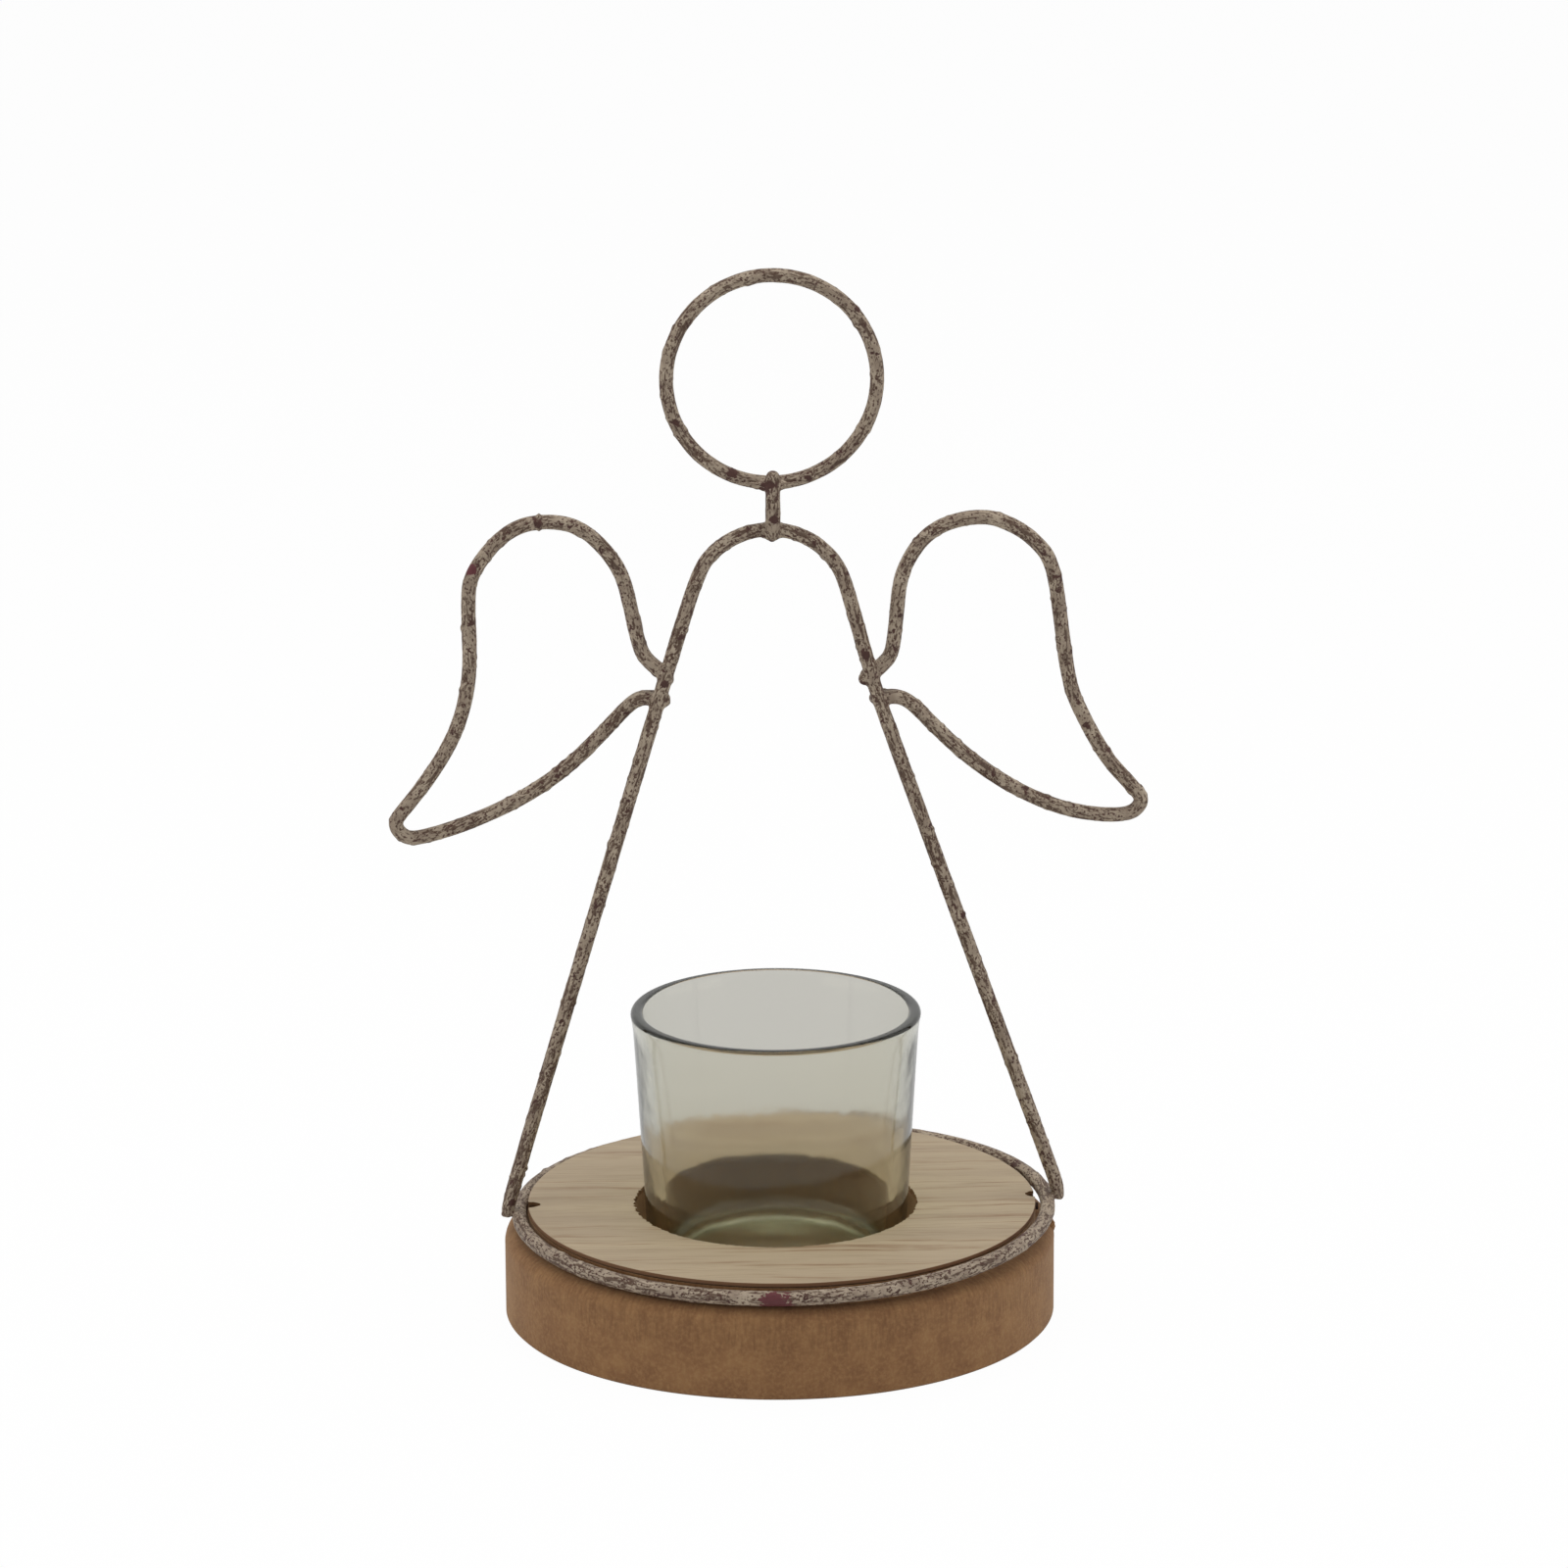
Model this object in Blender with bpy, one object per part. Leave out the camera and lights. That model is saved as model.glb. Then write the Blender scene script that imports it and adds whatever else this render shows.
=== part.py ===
# Angel candle holder: a wire angel on a turned wooden disc, with a glass for a tealight.
# Metres, +Z up, front towards -Y, origin at the bottom centre of the disc.
# Left and right are as seen from the front.
import bmesh
import bpy
import math
from mathutils import Euler, Matrix, Vector

# Disc, its upper part narrower for the ring and turned a little off centre, a rounded shoulder below
disc_radius = 0.0600
disc_height = 0.0245
disc_shoulder_width = 0.0046
disc_shoulder_rise = 0.0036
disc_shoulder_steps = 6
disc_upper_offset_x = 0.0005
disc_bottom_chamfer = 0.0005
veneer_thickness = 0.0008
disc_segments = 72

# Bore for the glass, drilled a little off centre
bore_clearance = 0.00295
bore_depth = 0.0200
bore_offset_x = -0.0009
bore_offset_y = -0.0012

# Pressed glass cup, standing loose in the bore
glass_offset_x = -0.0006
glass_height = 0.0632
glass_foot_radius = 0.0279
glass_rim_radius = 0.0315
glass_flare = 0.2
glass_wall = 0.0024
glass_wall_thickening = 0.0014
glass_base_thickness = 0.0095
glass_heel_round = 0.0022
glass_inner_round = 0.0045
glass_punt_radius = 0.0190
glass_punt_depth = 0.0010
glass_segments = 56
glass_wall_steps = 7

# Painted wire, and how its crossings are welded
wire_radius = 0.0016
wire_bevel_resolution = 3
wire_end_round = 0.0012
domed_tip = 0.3
pointed_tip = 0.14
square_tip = 0.92
square_tip_length = 0.00032
weld_sink = 0.0008
weld_reach = 0.0036
weld_step = 0.0009
straight_step = 0.0120
turn_step = math.radians(11.0)

# Ring round the disc, hung a little askew
ring_clearance = 0.00070
ring_seat_clearance = 0.0001
ring_drop = 0.0017
ring_offset_x = 0.0009
ring_rise_to_back = math.radians(1.0)
ring_rise_to_right = math.radians(0.7)
ring_segments = 80

# Body: foot, straight leg, arch, straight leg, foot. Drops are below the top of the arch.
foot_pinch = 0.0009
foot_below_ring = 0.0001
foot_bend_rise = 0.0030
foot_bend_radius = 0.0090
arch_top = 0.1748
arch_radius = 0.0171
arch_offset_x = -0.0015
leg_kink_drop = 0.0358
leg_kink_inset = 0.0018
leg_kink_radius = 0.0400

# Wings: drops of their welds below the top of the arch, and how far the ends reach past the leg
left_upper_drop = 0.0334
left_lower_drop = 0.0378
left_upper_reach = 0.0023
left_lower_reach = 0.0027
right_upper_drop = 0.0339
right_lower_drop = 0.0381
right_upper_reach = 0.0022
right_lower_reach = 0.0016
# Outline of each wing from the upper weld outwards, as run and rise in millimetres
left_wing_outline = [
    (-4.3, 5.8),
    (-9.3, 24.9),
    (-18.7, 34.2),
    (-31.0, 34.0),
    (-40.8, 23.1),
    (-41.1, 2.8),
    (-42.9, -6.5),
    (-46.4, -14.8),
    (-52.2, -23.2),
    (-57.8, -30.8),
    (-55.0, -34.0),
    (-32.6, -26.9),
    (-19.6, -18.2),
    (-5.3, -4.0),
]
right_wing_outline = [
    (3.9, 5.2),
    (6.7, 24.0),
    (13.6, 32.8),
    (25.8, 35.0),
    (37.4, 26.9),
    (41.4, 5.2),
    (42.9, -3.4),
    (50.1, -17.9),
    (58.2, -27.9),
    (56.2, -30.7),
    (45.4, -30.8),
    (30.8, -25.2),
    (17.2, -14.9),
    (6.7, -4.4),
]

# Halo and the neck that carries it
halo_radius = 0.02225
halo_offset_x = -0.0008
halo_segments = 56
neck_span = 0.0102
neck_above_halo = 0.0029
neck_below_arch = 0.0027
neck_point_length = 0.0026

# Pins that hold the ring to the disc, and the notches broken open over them
pin_radius = 0.0008
pin_segments = 16
pin_depth_in_disc = 0.0050
pin_cover = 0.0006
notch_width = 0.0030
left_notch_length = 0.0031
right_notch_length = 0.0018
notch_segments = 9

# Space left between pieces that touch, and how far a cutter stands past the face it opens
gap = 0.0003
cut_through = 0.001

# Sharpest turn that is shaded smooth, and the size of one step along a bend
sharp_turn = math.radians(40.0)
bend_step = math.radians(3.0)
millimetre = 0.001

# Places that follow from the sizes above
disc_upper_radius = disc_radius - disc_shoulder_width
bore_radius = glass_foot_radius + bore_clearance
disc_top = disc_height
veneer_bottom = disc_top - veneer_thickness
disc_face = veneer_bottom - gap
bore_floor = disc_top - bore_depth
glass_bottom = bore_floor + gap
ring_radius = disc_upper_radius + ring_clearance + wire_radius
ring_centre = Vector((ring_offset_x, 0.0, disc_top - ring_drop))
ring_turn = Euler((ring_rise_to_back, -ring_rise_to_right, 0.0))
ring_dip = ring_radius * math.hypot(math.sin(ring_rise_to_back), math.sin(ring_rise_to_right))
disc_shoulder_top = ring_centre.z - ring_dip - wire_radius - ring_seat_clearance
disc_wall_top = disc_shoulder_top - disc_shoulder_rise
weld_offset = 2.0 * wire_radius - weld_sink
arch_centre = Vector((arch_offset_x, arch_top - arch_radius))
halo_centre = Vector((halo_offset_x, 0.0, arch_top + neck_span + halo_radius))
highest_pin = disc_face - pin_cover - gap - pin_radius

for leftover in list(bpy.data.objects):
    bpy.data.objects.remove(leftover, do_unlink=True)


def paint(name, colour, roughness, metallic=0.0, transmission=0.0):
    coat = bpy.data.materials.new(name)
    coat.use_nodes = True
    shader = coat.node_tree.nodes["Principled BSDF"]
    shader.inputs["Base Color"].default_value = (*colour, 1.0)
    shader.inputs["Roughness"].default_value = roughness
    shader.inputs["Metallic"].default_value = metallic
    shader.inputs["Transmission Weight"].default_value = transmission
    return coat


def place(name, mesh, coat):
    for face in mesh.polygons:
        face.use_smooth = True
    mesh.set_sharp_from_angle(angle=sharp_turn)
    mesh.materials.clear()
    mesh.materials.append(coat)
    piece = bpy.data.objects.new(name, mesh)
    bpy.context.scene.collection.objects.link(piece)
    return piece


def arc(centre_x, centre_z, radius, start, end, steps):
    points = []
    for step in range(steps + 1):
        angle = math.radians(start + (end - start) * step / steps)
        points.append((centre_x + radius * math.cos(angle), centre_z + radius * math.sin(angle)))
    return points


def turned(name, profile, segments, coat):
    # Spins a profile of (radius, height) points round the upright axis into a closed solid.
    shape = bmesh.new()
    corners = [shape.verts.new((radius, 0.0, height)) for radius, height in profile]
    edges = [shape.edges.new(pair) for pair in zip(corners, corners[1:])]
    bmesh.ops.spin(
        shape,
        geom=corners + edges,
        cent=(0.0, 0.0, 0.0),
        axis=(0.0, 0.0, 1.0),
        angle=2.0 * math.pi,
        steps=segments,
        use_merge=True,
    )
    bmesh.ops.remove_doubles(shape, verts=shape.verts, dist=0.000005)
    bmesh.ops.recalc_face_normals(shape, faces=shape.faces)
    mesh = bpy.data.meshes.new(name)
    shape.to_mesh(mesh)
    shape.free()
    return place(name, mesh, coat)


def cut(piece, cutter):
    cutter.hide_render = True
    cutter.display_type = "WIRE"
    boolean = piece.modifiers.new(cutter.name, "BOOLEAN")
    boolean.operation = "DIFFERENCE"
    boolean.solver = "EXACT"
    boolean.object = cutter


def bent_line(corners):
    # Joins (x, z, bend radius) corners by straight runs, with an arc at each inner corner.
    points = [Vector(corners[0][:2])]
    for before, here, after in zip(corners, corners[1:], corners[2:]):
        corner = Vector(here[:2])
        back = (Vector(before[:2]) - corner).normalized()
        ahead = (Vector(after[:2]) - corner).normalized()
        half = back.angle(ahead) / 2.0
        reach = here[2] / math.tan(half)
        middle = corner + (back + ahead).normalized() * here[2] / math.sin(half)
        first = corner + back * reach - middle
        last = corner + ahead * reach - middle
        turn = math.atan2(first.x * last.y - first.y * last.x, first.dot(last))
        steps = max(2, math.ceil(abs(turn) / bend_step))
        for step in range(steps + 1):
            points.append(middle + Matrix.Rotation(turn * step / steps, 2) @ first)
    points.append(Vector(corners[-1][:2]))
    return points


def smooth_line(knots, steps=14):
    # A centripetal curve through every knot, for wire that was bent by hand round pegs.
    knots = [Vector(knot) for knot in knots]
    knots = [2.0 * knots[0] - knots[1]] + knots + [2.0 * knots[-1] - knots[-2]]
    points = []
    for start in range(len(knots) - 3):
        a, b, c, d = knots[start:start + 4]
        ta = 0.0
        tb = ta + math.sqrt((b - a).length)
        tc = tb + math.sqrt((c - b).length)
        td = tc + math.sqrt((d - c).length)
        for step in range(steps):
            t = tb + (tc - tb) * step / steps
            ab = a.lerp(b, (t - ta) / (tb - ta))
            bc = b.lerp(c, (t - tb) / (tc - tb))
            cd = c.lerp(d, (t - tc) / (td - tc))
            abc = ab.lerp(bc, (t - ta) / (tc - ta))
            bcd = bc.lerp(cd, (t - tb) / (td - tb))
            points.append(abc.lerp(bcd, (t - tb) / (tc - tb)))
    points.append(knots[-2])
    return points


def standing(points, depth):
    return [Vector((point.x, depth, point.y)) for point in points]


def circle_line(centre, turn, radius, steps=360):
    points = []
    for step in range(steps + 1):
        spoke = Vector((radius, 0.0, 0.0))
        spoke.rotate(Euler((0.0, 0.0, 2.0 * math.pi * step / steps)))
        spoke.rotate(turn)
        points.append(centre + spoke)
    return points


def along(points, distance):
    # The place and the heading at a distance along a line of points.
    for start, end in zip(points, points[1:]):
        length = (end - start).length
        if distance <= length or end is points[-1]:
            return start.lerp(end, distance / length), (end - start).normalized()
        distance -= length


def wire(name, points, ends, welds, coat):
    # A round wire along the points. Each end is (kind, length): domed, pointed or cut square.
    total = sum((end - start).length for start, end in zip(points, points[1:]))
    sizes = {0.0: 1.0, total: 1.0}
    for kind, reach, from_start in ((*ends[0], True), (*ends[1], False)):
        for share in (0.0, 0.1, 0.35, 1.0) if kind == "domed" else (0.0, 1.0):
            if kind == "domed":
                size = max(domed_tip, math.sqrt(1.0 - (1.0 - share) ** 2))
            elif kind == "pointed":
                size = max(pointed_tip, share)
            else:
                size = square_tip + (1.0 - square_tip) * share
            place_along = share * reach if from_start else total - share * reach
            sizes[place_along] = size
    free_start = ends[0][1]
    free_end = total - ends[1][1]
    step = weld_step / 3.0
    since = 0.0
    turned_by = 0.0
    distance = free_start
    heading = along(points, distance)[1]
    while distance < free_end - weld_step:
        distance += step
        since += step
        spot, new_heading = along(points, distance)
        turned_by += heading.angle(new_heading)
        heading = new_heading
        near_weld = any((spot - weld).length < weld_reach for weld in welds)
        if turned_by > turn_step or since > straight_step or (near_weld and since > weld_step):
            sizes[distance] = 1.0
            since = 0.0
            turned_by = 0.0
    places = sorted(sizes)
    line = bpy.data.curves.new(name, "CURVE")
    line.dimensions = "3D"
    line.bevel_depth = wire_radius
    line.bevel_resolution = wire_bevel_resolution
    line.use_fill_caps = True
    run = line.splines.new("POLY")
    run.points.add(len(places) - 1)
    for point, distance in zip(run.points, places):
        point.co = (*along(points, distance)[0], 1.0)
        point.radius = sizes[distance]
    guide = bpy.data.objects.new(name + "_line", line)
    bpy.context.scene.collection.objects.link(guide)
    bpy.context.view_layer.update()
    evaluated = guide.evaluated_get(bpy.context.evaluated_depsgraph_get())
    mesh = bpy.data.meshes.new_from_object(evaluated)
    bpy.data.objects.remove(guide, do_unlink=True)
    mesh.name = name
    shape = bmesh.new()
    shape.from_mesh(mesh)
    bmesh.ops.remove_doubles(shape, verts=shape.verts, dist=0.000005)
    bmesh.ops.recalc_face_normals(shape, faces=shape.faces)
    shape.to_mesh(mesh)
    shape.free()
    return place(name, mesh, coat)


def press(piece, neighbour, outward):
    # Dents a wire where it lies on its neighbour, so that it hugs it with the gap between them.
    limit = wire_radius + gap
    for vertex in piece.data.vertices:
        nearest = None
        for start, end in zip(neighbour, neighbour[1:]):
            run = end - start
            share = max(0.0, min(1.0, (vertex.co - start).dot(run) / run.length_squared))
            offset = vertex.co - start - run * share
            if nearest is None or offset.length < nearest.length:
                nearest = offset
        if nearest.length >= limit:
            continue
        direction = outward(vertex.co)
        height = nearest.dot(direction)
        aside = (nearest - direction * height).length
        vertex.co += direction * (math.sqrt(limit ** 2 - aside ** 2) - height)


wood = paint("ash_veneer", (0.39, 0.31, 0.22), 0.6)
board = paint("stained_fibreboard", (0.18, 0.10, 0.05), 0.75)
painted = paint("painted_wire", (0.26, 0.22, 0.17), 0.6, metallic=0.3)
steel = paint("dark_steel", (0.06, 0.04, 0.035), 0.5, metallic=0.8)
clear = paint("clear_glass", (0.92, 0.96, 0.92), 0.03, transmission=1.0)

# Disc: a turning with a rounded shoulder that rises to just under the ring
disc_profile = [(0.0, 0.0), (disc_radius - disc_bottom_chamfer, 0.0), (disc_radius, disc_bottom_chamfer)]
for across, up in arc(0.0, 0.0, 1.0, 0.0, 90.0, disc_shoulder_steps):
    shoulder_radius = disc_upper_radius + disc_shoulder_width * across
    disc_profile.append((shoulder_radius, disc_wall_top + disc_shoulder_rise * up))
disc_profile += [(disc_upper_radius, disc_face), (0.0, disc_face)]
base_disc = turned("base_disc", disc_profile, disc_segments, board)
for vertex in base_disc.data.vertices:
    share = (vertex.co.z - disc_wall_top) / disc_shoulder_rise
    vertex.co.x += disc_upper_offset_x * max(0.0, min(1.0, share))

# Veneer: a thin round sheet on the disc's face
veneer_profile = [
    (0.0, veneer_bottom),
    (disc_upper_radius, veneer_bottom),
    (disc_upper_radius, disc_top),
    (0.0, disc_top),
]
top_veneer = turned("top_veneer", veneer_profile, disc_segments, wood)
top_veneer.location.x = disc_upper_offset_x

# Bore for the glass, through the veneer and into the disc
bore_profile = [
    (0.0, bore_floor),
    (bore_radius, bore_floor),
    (bore_radius, disc_top + cut_through),
    (0.0, disc_top + cut_through),
]
bore_cutter = turned("bore_cutter", bore_profile, disc_segments, board)
bore_cutter.location = (bore_offset_x, bore_offset_y, 0.0)
cut(base_disc, bore_cutter)
cut(top_veneer, bore_cutter)

# Ring: one welded loop of wire round the disc's upper part
bpy.ops.mesh.primitive_torus_add(
    major_segments=ring_segments,
    minor_segments=2 * wire_bevel_resolution + 4,
    major_radius=ring_radius,
    minor_radius=wire_radius,
    location=ring_centre,
    rotation=ring_turn,
)
base_ring = bpy.context.object
base_ring.name = "base_ring"
base_ring.data.materials.append(painted)
base_ring.data.shade_smooth()
ring_line = circle_line(ring_centre, ring_turn, ring_radius)


def ring_at(side):
    # Middle of the ring's wire where a foot meets it.
    rise = ring_radius * side * math.sin(ring_rise_to_right)
    return ring_centre + Vector((ring_radius * side, 0.0, rise))


# Pins and notches, one pair at each foot
for side, name, notch_length in ((-1.0, "left", left_notch_length), (1.0, "right", right_notch_length)):
    pin_height = min(ring_at(side).z, highest_pin)
    pin_outer = ring_at(side).x - side * (wire_radius + gap)
    edge = side * disc_upper_radius + disc_upper_offset_x
    pin_inner = edge - side * pin_depth_in_disc
    pin_middle = ((pin_outer + pin_inner) / 2.0, 0.0, pin_height)
    bpy.ops.mesh.primitive_cylinder_add(
        vertices=pin_segments,
        radius=pin_radius,
        depth=abs(pin_outer - pin_inner),
        location=pin_middle,
        rotation=(0.0, math.pi / 2.0, 0.0),
    )
    pin = bpy.context.object
    pin.name = "ring_pin_" + name
    pin.data.materials.append(steel)
    pin.data.shade_smooth()
    pin.data.set_sharp_from_angle(angle=sharp_turn)
    bore_outer = edge + side * cut_through
    bore_inner = pin_inner - side * gap
    bpy.ops.mesh.primitive_cylinder_add(
        vertices=pin_segments,
        radius=pin_radius + gap,
        depth=abs(bore_outer - bore_inner),
        location=((bore_outer + bore_inner) / 2.0, 0.0, pin_height),
        rotation=(0.0, math.pi / 2.0, 0.0),
    )
    pin_bore = bpy.context.object
    pin_bore.name = "pin_bore_" + name
    cut(base_disc, pin_bore)
    notch_end = notch_width / 2.0 - notch_length
    outline = [
        (edge + side * across, along_edge)
        for across, along_edge in arc(notch_end, 0.0, notch_width / 2.0, 90.0, 270.0, notch_segments)
    ]
    outline += [(bore_outer, -notch_width / 2.0), (bore_outer, notch_width / 2.0)]
    shape = bmesh.new()
    floor = shape.faces.new([shape.verts.new((x, y, pin_height)) for x, y in outline])
    raised = bmesh.ops.extrude_face_region(shape, geom=[floor])
    lifted = [item for item in raised["geom"] if isinstance(item, bmesh.types.BMVert)]
    bmesh.ops.translate(shape, verts=lifted, vec=(0.0, 0.0, disc_top + cut_through - pin_height))
    bmesh.ops.recalc_face_normals(shape, faces=shape.faces)
    mesh = bpy.data.meshes.new("notch_" + name)
    shape.to_mesh(mesh)
    shape.free()
    notch = place("notch_" + name, mesh, board)
    cut(base_disc, notch)
    cut(top_veneer, notch)

# Glass: thick base, flaring wall, fire-rounded rim
glass_profile = [(0.0, glass_bottom + glass_punt_depth)]
glass_profile += [(glass_punt_radius, glass_bottom + glass_punt_depth)]
glass_profile += [(glass_punt_radius + glass_punt_depth, glass_bottom)]
glass_profile += arc(
    glass_foot_radius - glass_heel_round, glass_bottom + glass_heel_round, glass_heel_round, -90.0, 0.0, 4
)
glass_lip = glass_wall / 2.0
wall_rise = glass_height - glass_heel_round - glass_lip
wall_heights = [glass_heel_round]
for step in range(glass_wall_steps):
    wall_heights.append(wall_heights[-1] + wall_rise / glass_wall_steps)


def glass_radius_at(height):
    share = (height - glass_heel_round) / wall_rise
    flare = (1.0 - glass_flare) * share + glass_flare * share ** 2
    return glass_foot_radius + (glass_rim_radius - glass_foot_radius) * flare


def glass_wall_at(height):
    # The wall is thinnest at the rim and thickens evenly downwards.
    share = (height - glass_heel_round) / wall_rise
    return glass_wall + glass_wall_thickening * (1.0 - share)


glass_profile += [(glass_radius_at(height), glass_bottom + height) for height in wall_heights[1:]]
glass_profile += arc(
    glass_rim_radius - glass_lip, glass_bottom + glass_height - glass_lip, glass_lip, 0.0, 180.0, 6
)[1:]
inner_start = glass_base_thickness + glass_inner_round
inner_heights = [height for height in reversed(wall_heights[:-1]) if height > inner_start + glass_wall / 2.0]
for height in inner_heights:
    glass_profile.append((glass_radius_at(height) - glass_wall_at(height), glass_bottom + height))
inner_radius = glass_radius_at(inner_start) - glass_wall_at(inner_start)
glass_profile += arc(
    inner_radius - glass_inner_round, glass_bottom + inner_start, glass_inner_round, 0.0, -90.0, 5
)
glass_profile += [(0.0, glass_bottom + glass_base_thickness)]
glass_cup = turned("glass_cup", glass_profile, glass_segments, clear)
glass_cup.location.x = glass_offset_x

# Body wire: one wire from foot to foot over the arch
feet = []
for side in (-1.0, 1.0):
    foot_x = ring_at(side).x + side * (2.0 * wire_radius - foot_pinch)
    feet.append((foot_x, ring_at(side).z - foot_below_ring, ring_at(side).z + foot_bend_rise))


def towards_arch(start, side):
    # Heading of the straight run from a point that just touches the arch on the given side.
    to_centre = arch_centre - start
    swing = -side * math.asin(arch_radius / to_centre.length)
    return Matrix.Rotation(swing, 2) @ to_centre.normalized()


left_bend = Vector((feet[0][0], feet[0][2]))
right_bend = Vector((feet[1][0], feet[1][2]))
right_run = towards_arch(right_bend, 1.0)
kink_share = (arch_top - leg_kink_drop - right_bend.y) / right_run.y
right_kink = right_bend + right_run * kink_share - Vector((leg_kink_inset, 0.0))
left_heading = towards_arch(left_bend, -1.0)
right_heading = towards_arch(right_kink, 1.0)
between = right_kink - left_bend
crossing = left_heading.x * right_heading.y - left_heading.y * right_heading.x
apex = left_bend + left_heading * (between.x * right_heading.y - between.y * right_heading.x) / crossing
body_corners = [
    (feet[0][0], feet[0][1]),
    (*left_bend, foot_bend_radius),
    (*apex, arch_radius),
    (*right_kink, leg_kink_radius),
    (*right_bend, foot_bend_radius),
    (feet[1][0], feet[1][1]),
]
body_line = standing(bent_line(body_corners), 0.0)


def leg_at(height, side):
    run = body_line if side < 0.0 else body_line[::-1]
    for lower, upper in zip(run, run[1:]):
        if upper.z >= height:
            share = (height - lower.z) / (upper.z - lower.z)
            return lower.lerp(upper, share)


left_upper = leg_at(arch_top - left_upper_drop, -1.0)
left_lower = leg_at(arch_top - left_lower_drop, -1.0)
right_upper = leg_at(arch_top - right_upper_drop, 1.0)
right_lower = leg_at(arch_top - right_lower_drop, 1.0)
ring_left = body_line[0]
ring_right = body_line[-1]
body_welds = [ring_left, ring_right]
square_cut = ("square", square_tip_length)
domed = ("domed", wire_end_round)
body_wire = wire("body_wire", body_line, (square_cut, square_cut), body_welds, painted)
press(body_wire, ring_line, lambda spot: Vector((math.copysign(1.0, spot.x), 0.0, 0.0)))

# Wings: each one wire, its ends crossing behind the leg
wing_sides = (
    ("wing_left", left_wing_outline, left_upper, left_lower, left_upper_reach, left_lower_reach, -1.0),
    ("wing_right", right_wing_outline, right_upper, right_lower, right_upper_reach, right_lower_reach, 1.0),
)
for name, outline, upper, lower, upper_reach, lower_reach, side in wing_sides:
    knots = [(upper.x - side * upper_reach, upper.z)]
    knots += [(upper.x + run * millimetre, upper.z + rise * millimetre) for run, rise in outline]
    knots += [(lower.x - side * lower_reach, lower.z)]
    wing_line = standing(smooth_line(knots), weld_offset)
    behind = Vector((0.0, weld_offset, 0.0))
    wing = wire(name, wing_line, (domed, domed), [upper + behind, lower + behind], painted)
    press(wing, body_line, lambda spot: Vector((0.0, 1.0, 0.0)))

# Halo: one welded loop of wire, upright over the arch
bpy.ops.mesh.primitive_torus_add(
    major_segments=halo_segments,
    minor_segments=2 * wire_bevel_resolution + 4,
    major_radius=halo_radius,
    minor_radius=wire_radius,
    location=halo_centre,
    rotation=(math.pi / 2.0, 0.0, 0.0),
)
halo_ring = bpy.context.object
halo_ring.name = "halo_ring"
halo_ring.data.materials.append(painted)
halo_ring.data.shade_smooth()
halo_line = circle_line(halo_centre, Euler((math.pi / 2.0, 0.0, 0.0)), halo_radius)

# Neck: a short straight wire in front of the halo and the arch, snipped to a point below
neck_top = halo_centre + Vector((0.0, -weld_offset, neck_above_halo - halo_radius))
neck_bottom = Vector((neck_top.x, -weld_offset, arch_top - neck_below_arch))
neck_welds = [
    Vector((neck_top.x, -weld_offset, halo_centre.z - halo_radius)),
    Vector((neck_top.x, -weld_offset, arch_top)),
]
neck_ends = (("pointed", neck_point_length), domed)
neck_wire = wire("neck_wire", [neck_bottom, neck_top], neck_ends, neck_welds, painted)
press(neck_wire, halo_line, lambda spot: Vector((0.0, -1.0, 0.0)))
press(neck_wire, body_line, lambda spot: Vector((0.0, -1.0, 0.0)))
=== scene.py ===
import heapq
import math

import bmesh
import bpy
from mathutils import Matrix, Vector, interpolate, noise
from mathutils.bvhtree import BVHTree


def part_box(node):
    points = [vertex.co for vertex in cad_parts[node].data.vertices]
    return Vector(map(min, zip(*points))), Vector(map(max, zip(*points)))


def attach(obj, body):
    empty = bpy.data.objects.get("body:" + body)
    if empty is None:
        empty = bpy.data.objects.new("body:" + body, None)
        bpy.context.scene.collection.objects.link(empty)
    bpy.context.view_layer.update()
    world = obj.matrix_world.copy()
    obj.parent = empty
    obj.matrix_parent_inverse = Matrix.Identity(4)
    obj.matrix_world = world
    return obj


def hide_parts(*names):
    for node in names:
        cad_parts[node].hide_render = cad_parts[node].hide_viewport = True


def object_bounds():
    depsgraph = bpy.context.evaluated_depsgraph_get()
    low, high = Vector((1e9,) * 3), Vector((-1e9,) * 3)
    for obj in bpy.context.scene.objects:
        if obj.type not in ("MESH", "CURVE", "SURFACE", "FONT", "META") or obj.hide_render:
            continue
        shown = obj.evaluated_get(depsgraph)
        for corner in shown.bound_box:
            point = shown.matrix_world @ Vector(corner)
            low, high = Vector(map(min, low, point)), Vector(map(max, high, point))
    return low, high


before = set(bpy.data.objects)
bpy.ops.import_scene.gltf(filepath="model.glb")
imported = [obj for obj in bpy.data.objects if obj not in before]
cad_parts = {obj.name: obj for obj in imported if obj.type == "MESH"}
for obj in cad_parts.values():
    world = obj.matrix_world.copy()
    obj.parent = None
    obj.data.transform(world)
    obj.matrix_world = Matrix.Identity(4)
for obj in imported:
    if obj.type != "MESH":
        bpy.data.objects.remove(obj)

cad_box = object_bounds()
bpy.ops.object.select_all(action="DESELECT")


# Disc. A thick round of fibreboard, turned on a lathe to a rounded shoulder, stained brown on its
# sides, drilled for the glass and split open over the two pins that hold the ring.
disc_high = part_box("base_disc")[1]
veneer_low, veneer_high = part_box("top_veneer")
disc_radius = disc_high.x
disc_face = disc_high.z
disc_upper_radius = veneer_high.y
upper_centre = ((veneer_low.x + veneer_high.x) / 2.0, 0.0)
disc_middle = (0.0, 0.0)
shoulder_top = 0.01987
shoulder_rise = 0.0036
shoulder_steps = 12
disc_chamfer = 0.0005
disc_segments = 384
bore_radius = 0.03085
bore_centre = (-0.0009, -0.0012)
bore_depth = 0.0200
bore_chamfer = 0.0002
bore_floor = veneer_high.z - bore_depth


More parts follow.
